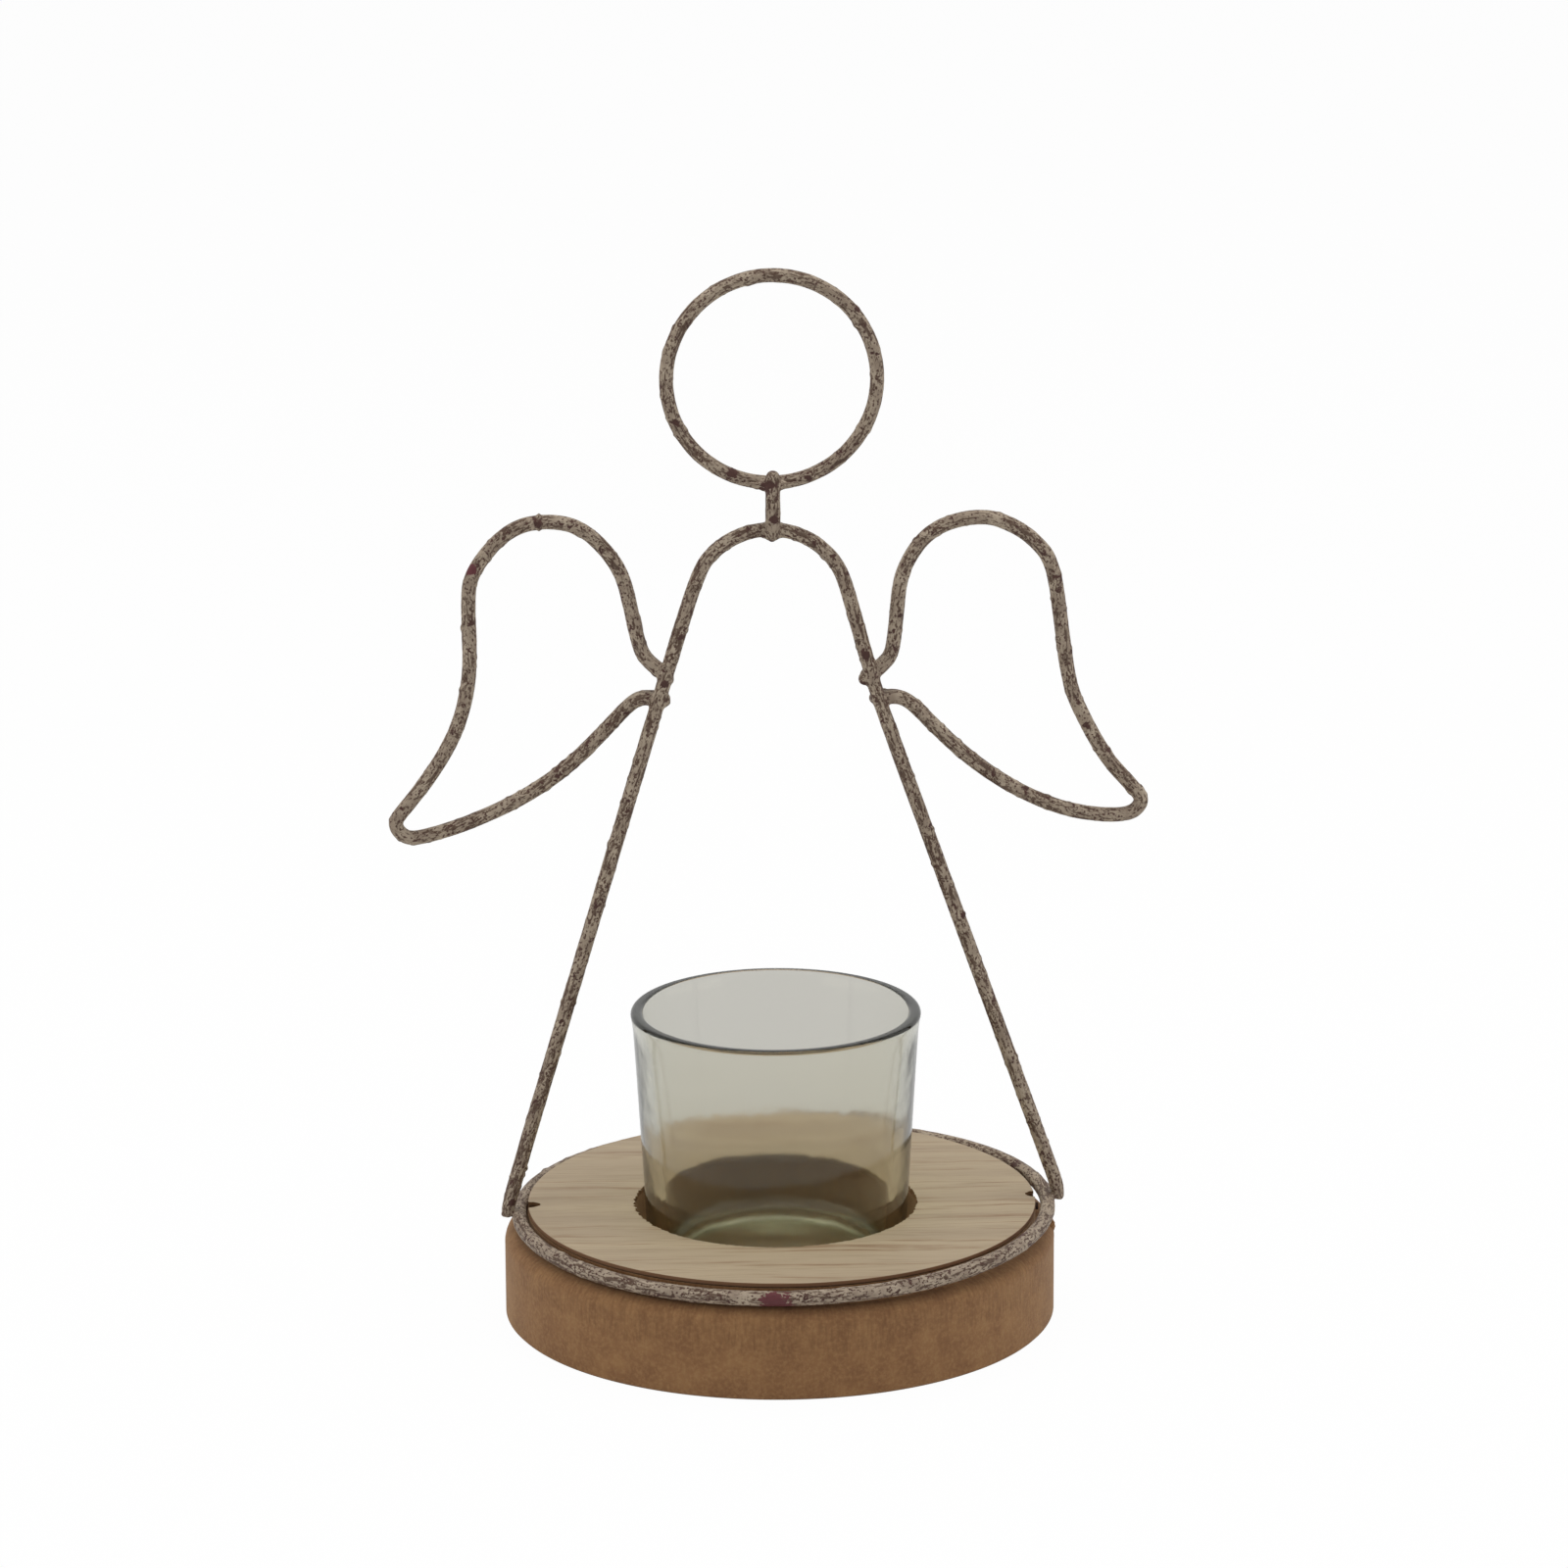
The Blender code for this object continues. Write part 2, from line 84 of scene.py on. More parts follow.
def colour(code):
    # A colour written as sRGB hex, turned to the linear values that a shader mixes.
    channels = []
    for start in (0, 2, 4):
        level = int(code[start:start + 2], 16) / 255.0
        channels.append(level / 12.92 if level <= 0.04045 else ((level + 0.055) / 1.055) ** 2.4)
    return (*channels, 1.0)


def add(tree, kind, inputs, take=None, **settings):
    # Adds a node with its settings, sets or links its inputs, and returns the output asked for.
    node = tree.nodes.new(kind)
    for name, value in settings.items():
        setattr(node, name, value)
    for key, value in inputs.items():
        socket = next(each for each in node.inputs if key in (each.identifier, each.name))
        if isinstance(value, bpy.types.NodeSocket):
            tree.links.new(value, socket)
        else:
            socket.default_value = value
    if take:
        return node.outputs[take]
    return next(each for each in node.outputs if each.enabled)


def new_material(name, roughness, ior=1.5):
    material = bpy.data.materials.new(name)
    material.use_nodes = True
    shader = material.node_tree.nodes["Principled BSDF"]
    shader.inputs["Roughness"].default_value = roughness
    shader.inputs["IOR"].default_value = ior
    return material, material.node_tree, shader


def raise_rings(name, segments, rings):
    # Models a turned piece as a stack of rings, each (radius, height, centre), from its underside
    # up its outer wall, over the top and down into any bore. The last ring is closed by a flat face.
    radius, height, centre = rings[0]
    bpy.ops.mesh.primitive_circle_add(
        vertices=segments, radius=radius, fill_type="NGON", location=(*centre, height)
    )
    piece = bpy.context.object
    piece.name = name
    bpy.ops.object.mode_set(mode="EDIT")
    bpy.ops.mesh.select_all(action="SELECT")
    for next_radius, next_height, next_centre in rings[1:]:
        step = (next_centre[0] - centre[0], next_centre[1] - centre[1], next_height - height)
        bpy.ops.mesh.extrude_region_move(TRANSFORM_OT_translate={"value": step})
        share = next_radius / radius
        bpy.ops.transform.resize(value=(share, share, 1.0), center_override=(*next_centre, next_height))
        radius, height, centre = next_radius, next_height, next_centre
    bpy.ops.mesh.select_all(action="SELECT")
    bpy.ops.mesh.normals_make_consistent(inside=False)
    bpy.ops.object.mode_set(mode="OBJECT")
    bpy.ops.object.transform_apply(location=True, rotation=True, scale=True)
    return piece


def rounded(radius, height, size, start, end, centre, steps=4):
    # Rings of a small round edge about (radius, height), from the start angle to the end angle.
    rings = []
    for step in range(steps + 1):
        angle = math.radians(start + (end - start) * step / steps)
        rings.append((radius + size * math.cos(angle), height + size * math.sin(angle), centre))
    return rings


def pick(piece):
    bpy.ops.object.select_all(action="DESELECT")
    piece.select_set(True)
    bpy.context.view_layer.objects.active = piece


def finish_shape(piece, sharp_degrees):
    pick(piece)
    bpy.ops.object.shade_smooth_by_angle(angle=math.radians(sharp_degrees))
    bpy.ops.object.select_all(action="DESELECT")


def combine(piece, tool, operation):
    # Cuts a tool out of a piece, or joins it on. New faces keep the tool's material.
    boolean = piece.modifiers.new("combine", "BOOLEAN")
    boolean.operation = operation
    boolean.solver = "EXACT"
    boolean.material_mode = "TRANSFER"
    boolean.object = tool
    pick(piece)
    bpy.ops.object.modifier_apply(modifier=boolean.name)
    bpy.ops.object.select_all(action="DESELECT")


disc_rings = [
    (disc_radius - disc_chamfer, 0.0, disc_middle),
    (disc_radius, disc_chamfer, disc_middle),
]
for step in range(shoulder_steps + 1):
    angle = math.radians(90.0 * step / shoulder_steps)
    shoulder_radius = disc_upper_radius + (disc_radius - disc_upper_radius) * math.cos(angle)
    shoulder_height = shoulder_top - shoulder_rise * (1.0 - math.sin(angle))
    shift = upper_centre[0] * math.sin(angle)
    disc_rings.append((shoulder_radius, shoulder_height, (shift, 0.0)))
disc_rings += [
    (disc_upper_radius, disc_face, upper_centre),
    (bore_radius + bore_chamfer, disc_face, bore_centre),
    (bore_radius, disc_face - bore_chamfer, bore_centre),
    (bore_radius, bore_floor, bore_centre),
]
base_disc = raise_rings("turned_disc", disc_segments, disc_rings)

score_spacing = 0.00066667
score_stretch = 0.14
fibre_size = 0.00083333
stain_cloud_size = 0.0066667
scored_edge_size = 0.016667
scored_edge_wander = 0.0080
scored_from = 0.0125
scored_above = 0.0155
bore_shade_reach = 0.001
fibreboard, tree, shader = new_material("stained_fibreboard_turned", 0.8)
# Fibreboard wiped with brown stain: fine mottled fibres, and upright scores that the cutter left on
# the upper half of the wall. Its fuzz looks paler from the side. Painted shade darkens the bore.
# The scores and fibres are drawn coarser than the real ones, so that they show.
place = add(tree, "ShaderNodeTexCoord", {}, take="Object")
shader.inputs["Specular IOR Level"].default_value = 0.25
shader.inputs["Sheen Weight"].default_value = 0.18
shader.inputs["Sheen Roughness"].default_value = 0.5
shader.inputs["Sheen Tint"].default_value = colour("FFE4C4")
parts = add(tree, "ShaderNodeSeparateXYZ", {"Vector": place}, take="X").node
angle = add(
    tree, "ShaderNodeMath",
    {"Value": parts.outputs["Y"], "Value_001": parts.outputs["X"]}, operation="ARCTAN2",
)
around = add(tree, "ShaderNodeMath", {"Value": angle, "Value_001": disc_radius}, operation="MULTIPLY")
unrolled = add(tree, "ShaderNodeCombineXYZ", {"X": around, "Y": 0.0, "Z": parts.outputs["Z"]})
stretch = add(tree, "ShaderNodeMapping", {"Vector": unrolled, "Scale": (1.0, 1.0, score_stretch)})
scores = add(
    tree, "ShaderNodeTexNoise",
    {"Vector": stretch, "Scale": 1.0 / score_spacing, "Detail": 3.0, "Roughness": 0.6},
)
fibres = add(
    tree, "ShaderNodeTexNoise",
    {"Vector": place, "Scale": 1.0 / fibre_size, "Detail": 4.0, "Roughness": 0.65},
)
clouds = add(
    tree, "ShaderNodeTexNoise",
    {"Vector": place, "Scale": 1.0 / stain_cloud_size, "Detail": 4.0, "Roughness": 0.6},
)
score_edge = add(
    tree, "ShaderNodeTexNoise",
    {"Vector": place, "Scale": 1.0 / scored_edge_size, "Detail": 2.0},
)
score_level = add(
    tree, "ShaderNodeMath",
    {"Value": score_edge, "Value_001": scored_edge_wander, "Value_002": parts.outputs["Z"]},
    operation="MULTIPLY_ADD",
)
high_wall = add(
    tree, "ShaderNodeMapRange",
    {
        "Value": score_level, "From Min": scored_from,
        "From Max": scored_above, "To Min": 0.15, "To Max": 1.0,
    },
)
score_depth = add(
    tree, "ShaderNodeMath",
    {"Value": scores, "Value_001": high_wall}, operation="MULTIPLY",
)
cloud_share = add(tree, "ShaderNodeMapRange", {"Value": clouds, "From Min": 0.35, "From Max": 0.68})
stain = add(
    tree, "ShaderNodeMix",
    {"Factor_Float": cloud_share, "A_Color": colour("7B5739"), "B_Color": colour("8F6A46")},
    data_type="RGBA",
)
fibre_share = add(
    tree, "ShaderNodeMapRange",
    {"Value": fibres, "From Min": 0.45, "From Max": 0.75, "To Min": 0.0, "To Max": 0.55},
)
mottled = add(
    tree, "ShaderNodeMix",
    {"Factor_Float": fibre_share, "A_Color": stain, "B_Color": colour("A17D55")}, data_type="RGBA",
)
score_share = add(
    tree, "ShaderNodeMapRange",
    {"Value": score_depth, "From Min": 0.42, "From Max": 0.7, "To Min": 0.0, "To Max": 0.42},
)
wall_colour = add(
    tree, "ShaderNodeMix",
    {"Factor_Float": score_share, "A_Color": mottled, "B_Color": colour("5E3F27")}, data_type="RGBA",
)
flat_place = add(
    tree, "ShaderNodeCombineXYZ",
    {"X": parts.outputs["X"], "Y": parts.outputs["Y"], "Z": 0.0},
)
from_bore = add(
    tree, "ShaderNodeVectorMath",
    {"Vector": flat_place, "Vector_001": (*bore_centre, 0.0)}, take="Value", operation="DISTANCE",
)
# Painted shade: everything inside the bore, a deep recess, is darkened towards deep brown, fading out
# just past its edge.
bore_shade_share = add(
    tree, "ShaderNodeMapRange",
    {
        "Value": from_bore, "From Min": bore_radius + bore_chamfer,
        "From Max": bore_radius + bore_shade_reach, "To Min": 0.45, "To Max": 0.0,
    },
)
bore_shaded = add(
    tree, "ShaderNodeMix",
    {"Factor_Float": bore_shade_share, "A_Color": wall_colour, "B_Color": colour("4A2C1C")}, data_type="RGBA",
)
tree.links.new(bore_shaded, shader.inputs["Base Color"])
relief = add(tree, "ShaderNodeMath", {"Value": score_depth, "Value_001": fibres}, operation="ADD")
bump = add(tree, "ShaderNodeBump", {"Height": relief, "Strength": 0.5, "Distance": 0.0002})
tree.links.new(bump, shader.inputs["Normal"])

torn_fibre_size = 0.000625
broken_board, tree, shader = new_material("fibreboard_broken_and_dark", 0.85)
# The bare core of the board where it is torn open: deep brown, full of coarse fibres.
place = add(tree, "ShaderNodeTexCoord", {}, take="Object")
torn_fibres = add(
    tree, "ShaderNodeTexNoise",
    {"Vector": place, "Scale": 1.0 / torn_fibre_size, "Detail": 4.0, "Roughness": 0.7},
)
torn_colour = add(
    tree, "ShaderNodeMix",
    {"Factor_Float": torn_fibres, "A_Color": colour("4E3520"), "B_Color": colour("8C6945")},
    data_type="RGBA",
)
tree.links.new(torn_colour, shader.inputs["Base Color"])
bump = add(tree, "ShaderNodeBump", {"Height": torn_fibres, "Strength": 0.6, "Distance": 0.0002})
tree.links.new(bump, shader.inputs["Normal"])

base_disc.data.materials.append(fibreboard)

# The two splits over the pins, each a ragged wedge cut down from the face.
split_depth = 0.0019
split_width = 0.0040
split_overhang = 0.0010
split_taper = 0.75
split_raggedness = 0.0004
split_ragged_scale = 1900.0
split_ragged_scale_across = 400.0
splits = []
for side, length in ((-1.0, 0.0027), (1.0, 0.0020)):
    bpy.ops.mesh.primitive_cube_add(size=1.0)
    wedge = bpy.context.object
    wedge.name = "split_wedge"
    wedge.data.materials.append(broken_board)
    edge = side * disc_upper_radius + upper_centre[0]
    outer = edge + side * split_overhang
    inner = edge - side * length
    bpy.ops.object.mode_set(mode="EDIT")
    bpy.ops.mesh.select_all(action="SELECT")
    bpy.ops.transform.resize(value=(abs(outer - inner), split_width, 2.0 * split_depth))
    bpy.ops.transform.translate(value=((outer + inner) / 2.0, 0.0, veneer_high.z))
    bpy.ops.mesh.subdivide(number_cuts=7)
    bpy.ops.object.mode_set(mode="OBJECT")
    for vertex in wedge.data.vertices:
        inward = (vertex.co.x - outer) / (inner - outer)
        narrowing = 1.0 - split_taper * inward ** 3
        along = vertex.co.x * split_ragged_scale
        across = vertex.co.y * split_ragged_scale_across
        ragged = noise.noise(Vector((along, across, 7.3 * side)))
        vertex.co.y = vertex.co.y * narrowing + ragged * split_raggedness
    splits.append(wedge)
    combine(base_disc, wedge, "DIFFERENCE")

# A splinter of torn board that stands up on the right of the shoulder.
splinter_size = 0.0012
splinter_place = (0.0590, -0.0042, 0.0186)
splinter_roughness = 0.00035
splinter_roughness_scale = 1400.0
splinter_grit = 0.00015
splinter_grit_scale = 3600.0
bpy.ops.mesh.primitive_ico_sphere_add(
    subdivisions=4, radius=splinter_size, location=splinter_place, scale=(0.95, 0.8, 1.25)
)
splinter = bpy.context.object
bpy.ops.object.transform_apply(location=True, rotation=True, scale=True)
for vertex in splinter.data.vertices:
    rough = noise.noise(vertex.co * splinter_roughness_scale) * splinter_roughness
    rough += noise.noise(vertex.co * splinter_grit_scale) * splinter_grit
    vertex.co += vertex.normal * rough
splinter.data.materials.append(fibreboard)
combine(base_disc, splinter, "UNION")
bpy.data.objects.remove(splinter, do_unlink=True)

finish_shape(base_disc, 40.0)
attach(base_disc, "root")
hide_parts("base_disc")


# Veneer. A thin sheet of pale ash, glued on the disc's face with its straight grain left to right,
# then drilled and split together with the disc, which leaves torn fibres at the bore.
bore_tear = 0.0006
bore_tear_deepest = 0.5
bore_tear_scale = 1300.0
bore_fray_scale = 3100.0
bore_fray_share = 0.6
veneer_round = 0.00015
drill_depth = 0.0100
drill_sides = 720
veneer_rings = [(disc_upper_radius, veneer_low.z, upper_centre)]
veneer_rings += rounded(
    disc_upper_radius - veneer_round, veneer_high.z - veneer_round, veneer_round, 0.0, 90.0,
    upper_centre,
)
veneer = raise_rings("ash_sheet", disc_segments, veneer_rings)

pore_size = 0.00052632
pore_stretch = 0.04
growth_line_size = 0.0015625
growth_line_stretch = 0.03
growth_line_fade_size = 0.0142857
colour_band_size = 0.0083333
grain_wander_size = 0.0222222
grain_wander = 0.0030
ash, tree, shader = new_material("ash_veneer_bare", 0.62)
# Bare ash, sliced thin: straight fine pores, thin brown growth lines that come and go, faint rosy
# and grey bands. The disc's brown stain has caught its edge. The pores are drawn coarser than the
# real ones, so that they show.
place = add(tree, "ShaderNodeTexCoord", {}, take="Object")
grain_turn = math.radians(2.0)
lie = add(tree, "ShaderNodeMapping", {"Vector": place, "Rotation": (0.0, 0.0, grain_turn)})
wander = add(
    tree, "ShaderNodeTexNoise",
    {"Vector": lie, "Scale": 1.0 / grain_wander_size, "Detail": 2.0}, take="Color",
)
drift = add(
    tree, "ShaderNodeVectorMath",
    {"Vector": wander, "Vector_001": (0.0, grain_wander, 0.0)}, operation="MULTIPLY",
)
wavy = add(tree, "ShaderNodeVectorMath", {"Vector": lie, "Vector_001": drift}, operation="ADD")
pore_lie = add(tree, "ShaderNodeMapping", {"Vector": wavy, "Scale": (pore_stretch, 1.0, 1.0)})
pores = add(
    tree, "ShaderNodeTexNoise",
    {"Vector": pore_lie, "Scale": 1.0 / pore_size, "Detail": 3.0, "Roughness": 0.6},
)
line_lie = add(tree, "ShaderNodeMapping", {"Vector": wavy, "Scale": (growth_line_stretch, 1.0, 0.02)})
lines = add(
    tree, "ShaderNodeTexNoise",
    {"Vector": line_lie, "Scale": 1.0 / growth_line_size, "Detail": 3.0, "Roughness": 0.55},
)
fading = add(
    tree, "ShaderNodeTexNoise",
    {"Vector": place, "Scale": 1.0 / growth_line_fade_size, "Detail": 3.0, "Roughness": 0.6},
)
fade = add(
    tree, "ShaderNodeMapRange",
    {"Value": fading, "From Min": 0.35, "From Max": 0.62, "To Min": 0.25, "To Max": 1.0},
)
bands = add(
    tree, "ShaderNodeTexNoise",
    {"Vector": line_lie, "Scale": 1.0 / colour_band_size, "Detail": 2.0, "Roughness": 0.5},
)
band_share = add(tree, "ShaderNodeMapRange", {"Value": bands, "From Min": 0.35, "From Max": 0.65})
tone = add(
    tree, "ShaderNodeMix",
    {"Factor_Float": band_share, "A_Color": colour("A18F77"), "B_Color": colour("AF9D82")},
    data_type="RGBA",
)
line_share = add(
    tree, "ShaderNodeMapRange",
    {"Value": lines, "From Min": 0.575, "From Max": 0.62, "To Min": 0.0, "To Max": 0.7},
)
faded_line = add(tree, "ShaderNodeMath", {"Value": line_share, "Value_001": fade}, operation="MULTIPLY")
lined = add(
    tree, "ShaderNodeMix",
    {"Factor_Float": faded_line, "A_Color": tone, "B_Color": colour("7C5A3C")}, data_type="RGBA",
)
pore_share = add(
    tree, "ShaderNodeMapRange",
    {"Value": pores, "From Min": 0.5, "From Max": 0.68, "To Min": 0.0, "To Max": 0.42},
)
grained = add(
    tree, "ShaderNodeMix",
    {"Factor_Float": pore_share, "A_Color": lined, "B_Color": colour("85735A")}, data_type="RGBA",
)
facing = add(tree, "ShaderNodeNewGeometry", {}, take="Normal")
upward = add(tree, "ShaderNodeSeparateXYZ", {"Vector": facing}, take="Z")
edge_share = add(
    tree, "ShaderNodeMapRange",
    {"Value": upward, "From Min": 0.6, "From Max": 0.9, "To Min": 1.0, "To Max": 0.0},
)
edged = add(
    tree, "ShaderNodeMix",
    {"Factor_Float": edge_share, "A_Color": grained, "B_Color": colour("6F4E33")}, data_type="RGBA",
)
tree.links.new(edged, shader.inputs["Base Color"])
bump = add(tree, "ShaderNodeBump", {"Height": pores, "Strength": 0.25, "Distance": 0.0001})
tree.links.new(bump, shader.inputs["Normal"])
veneer.data.materials.append(ash)

# The drill's cut through the sheet. It tore the fibres all round, and most on the left.
bpy.ops.mesh.primitive_cylinder_add(
    vertices=drill_sides, radius=bore_radius, depth=drill_depth, location=(*bore_centre, veneer_high.z)
)
drill = bpy.context.object
drill.data.materials.append(broken_board)
bpy.ops.object.transform_apply(location=True, rotation=True, scale=True)
middle = Vector(bore_centre)
for vertex in drill.data.vertices:
    spoke = vertex.co.xy - middle
    torn = noise.noise(Vector((*(spoke * bore_tear_scale), 2.1)))
    torn += noise.noise(Vector((*(spoke * bore_fray_scale), 4.7))) * bore_fray_share
    tear = bore_tear * (0.7 + 0.6 * max(0.0, -spoke.normalized().x) ** 6)
    spoke.length = bore_radius + max(-bore_tear_deepest, torn) * tear
    vertex.co.xy = spoke + middle
combine(veneer, drill, "DIFFERENCE")
bpy.data.objects.remove(drill, do_unlink=True)
for wedge in splits:
    combine(veneer, wedge, "DIFFERENCE")
    bpy.data.objects.remove(wedge, do_unlink=True)

finish_shape(veneer, 30.0)
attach(veneer, "root")
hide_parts("top_veneer")


# Pins. Two short lengths of dark steel wire, driven into the disc's edge, which carry the ring.
# They are the solids of the frame, given the scale and rust that bare steel wire has.
rust_patch_size = 0.00055556
pin_steel, tree, shader = new_material("black_steel_wire_rusting", 0.5)
# Black mill scale with brown rust breaking through in patches.
shader.inputs["Metallic"].default_value = 0.7
place = add(tree, "ShaderNodeTexCoord", {}, take="Object")
rust = add(tree, "ShaderNodeTexNoise", {"Vector": place, "Scale": 1.0 / rust_patch_size, "Detail": 4.0})
rust_share = add(
    tree, "ShaderNodeMapRange",
    {"Value": rust, "From Min": 0.42, "From Max": 0.6, "To Min": 0.0, "To Max": 1.0},
)
scaled = add(
    tree, "ShaderNodeMix",
    {"Factor_Float": rust_share, "A_Color": colour("3A3532"), "B_Color": colour("5A3A28")},
    data_type="RGBA",
)
tree.links.new(scaled, shader.inputs["Base Color"])
rust_rough = add(
    tree, "ShaderNodeMapRange",
    {"Value": rust, "From Min": 0.35, "From Max": 0.65, "To Min": 0.4, "To Max": 0.8},
)
tree.links.new(rust_rough, shader.inputs["Roughness"])
for name in ("ring_pin_left", "ring_pin_right"):
    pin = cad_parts[name]
    pin.data.materials.clear()
    pin.data.materials.append(pin_steel)


# Body wire. Steel wire of three millimetres, bent into an arch with two straight legs and small
# feet, spot welded to the ring, the wings and the neck, then painted as one. The welds are part of
# this piece, with a stub of each wire that they hold.
wire_radius = 0.0016
body_grain = 0.00026
smoothing_loss = 0.00006
stub_length = 0.0075
stub_overlap = 0.0021
wing_stub_step = 0.0017
foot_reach = 0.0572
neck_overlap = 0.0030
neck_stub_step = 0.0009
weld_paint = 0.00001
all_smooth = 180.0
weld_reach = 0.0052
foot_weld_reach = 0.0040
everywhere = 1.0
foot_right_rise = 0.0030
merge_distance = 0.00001
wire_sides = 28
body_low, body_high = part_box("body_wire")


def copy_node(node, name):
    # A copy of a node's mesh, merged and made round, ready to be modelled further.
    piece = bpy.data.objects.new(name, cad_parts[node].data.copy())
    bpy.context.scene.collection.objects.link(piece)
    pick(piece)
    bpy.ops.mesh.customdata_custom_splitnormals_clear()
    bpy.ops.object.mode_set(mode="EDIT")
    bpy.ops.mesh.select_all(action="SELECT")
    bpy.ops.mesh.remove_doubles(threshold=merge_distance)
    bpy.ops.mesh.normals_make_consistent(inside=False)
    bpy.ops.mesh.tris_convert_to_quads(
        face_threshold=math.radians(30.0), shape_threshold=math.radians(50.0)
    )
    bpy.ops.object.mode_set(mode="OBJECT")
    rounding = piece.modifiers.new("round", "SUBSURF")
    rounding.levels = 2
    bpy.ops.object.modifier_apply(modifier=rounding.name)
    return piece


def trim(piece, point, direction):
    # Cuts a piece across and keeps the side that the direction points to, closed by a flat face.
    pick(piece)
    bpy.ops.object.mode_set(mode="EDIT")
    bpy.ops.mesh.select_all(action="SELECT")
    bpy.ops.mesh.bisect(plane_co=point, plane_no=direction, use_fill=True, clear_inner=True)
    bpy.ops.object.mode_set(mode="OBJECT")


def bead(place, size, flatten=(1.0, 1.0, 1.0)):
    # A drop of weld metal.
    bpy.ops.mesh.primitive_ico_sphere_add(subdivisions=4, radius=size, location=place, scale=flatten)
    return bpy.context.object


def swell(piece, amount):
    # Moves the skin outwards evenly.
    shape = bmesh.new()
    shape.from_mesh(piece.data)
    shape.normal_update()
    for vertex in shape.verts:
        vertex.co += vertex.normal * amount
    shape.to_mesh(piece.data)
    shape.free()


def fuse(piece, others, grain):
    # Joins the others to a piece and remeshes them as one skin of even grain.
    bpy.ops.object.select_all(action="DESELECT")
    for other in others:
        other.select_set(True)
    piece.select_set(True)
    bpy.context.view_layer.objects.active = piece
    bpy.ops.object.join()
    remesh = piece.modifiers.new("skin", "REMESH")
    remesh.mode = "VOXEL"
    remesh.voxel_size = grain
    bpy.ops.object.modifier_apply(modifier=remesh.name)


def soften(piece, places, reach, rounds):
    # Runs the fused skin smooth near the welds, so that each crossing has a small fillet.
    shape = bmesh.new()
    shape.from_mesh(piece.data)
    near = [
        vertex for vertex in shape.verts
        if any((vertex.co - place).length < reach for place in places)
    ]
    for step in range(rounds):
        bmesh.ops.smooth_vert(
            shape, verts=near, factor=0.5, use_axis_x=True, use_axis_y=True, use_axis_z=True
        )
    shape.to_mesh(piece.data)
    shape.free()


paint_grit = 0.00003
paint_grit_scale = 900.0
paint_waves = 0.00005
paint_wave_scale = 260.0
paint_lumps = 0.0005
paint_lump_scale = 560.0
lump_threshold = 0.3


def weather(piece, thickness):
    # Moves the skin out by the paint's thickness and roughens it with lumps of paint, which stop at
    # the size of the whole object.
    shape = bmesh.new()
    shape.from_mesh(piece.data)
    shape.normal_update()
    for vertex in shape.verts:
        fine = noise.noise(vertex.co * paint_grit_scale)
        broad = noise.noise(vertex.co * paint_wave_scale + Vector((5.0, 1.0, 9.0)))
        lump = noise.noise(vertex.co * paint_lump_scale + Vector((2.0, 8.0, 3.0)))
        lump = max(0.0, lump - lump_threshold)
        rise = thickness + fine * paint_grit + broad * paint_waves + lump * paint_lumps
        vertex.co += vertex.normal * rise
        for axis in range(3):
            vertex.co[axis] = min(max(vertex.co[axis], cad_box[0][axis]), cad_box[1][axis])
    shape.to_mesh(piece.data)
    shape.free()


def write_runs(piece, runs):
    # Keeps the way along the wire on every vertex, for the paint to read.
    mark = piece.data.attributes.new("along_wire", "FLOAT", "POINT")
    mark.data.foreach_set("value", runs)


def mark_run(piece, source, start, offset):
    # Writes on every vertex how far along the wire it lies, walked over the source's skin from the
    # start, so that the paint can wear in streaks that follow the wire. Each wire's own offset keeps
    # it from wearing like another.
    skin = bmesh.new()
    skin.from_mesh(source.data)
    bmesh.ops.remove_doubles(skin, verts=skin.verts, dist=merge_distance)
    skin.verts.index_update()
    skin.verts.ensure_lookup_table()
    skin.faces.ensure_lookup_table()
    seed = min(skin.verts, key=lambda vertex: (vertex.co - start).length)
    reach = {seed.index: offset}
    queue = [(offset, seed.index)]
    while queue:
        travelled, index = heapq.heappop(queue)
        if travelled > reach[index]:
            continue
        for link in skin.verts[index].link_edges:
            other = link.other_vert(skin.verts[index])
            distance = travelled + link.calc_length()
            if distance < reach.get(other.index, math.inf):
                reach[other.index] = distance
                heapq.heappush(queue, (distance, other.index))
    finder = BVHTree.FromBMesh(skin)
    runs = []
    for vertex in piece.data.vertices:
        spot, normal, face, depth = finder.find_nearest(vertex.co)
        corners = skin.faces[face].verts
        shares = interpolate.poly_3d_calc([corner.co for corner in corners], spot)
        runs.append(sum(share * reach[corner.index] for share, corner in zip(shares, corners)))
    write_runs(piece, runs)
    skin.free()


left_cross_upper = Vector((-0.0242, 0.0, 0.1414))
left_cross_lower = Vector((-0.0256, 0.0, 0.1370))
right_cross_upper = Vector((0.0206, 0.0, 0.1409))
right_cross_lower = Vector((0.0219, 0.0, 0.1367))
neck_halo_cross = Vector((-0.0008, -0.0012, 0.1850))
neck_arch_cross = Vector((-0.0008, -0.0012, 0.1744))
foot_left = Vector((body_low.x + wire_radius, 0.0, body_low.z + wire_radius))
foot_right = Vector((body_high.x - wire_radius, 0.0, body_low.z + foot_right_rise))

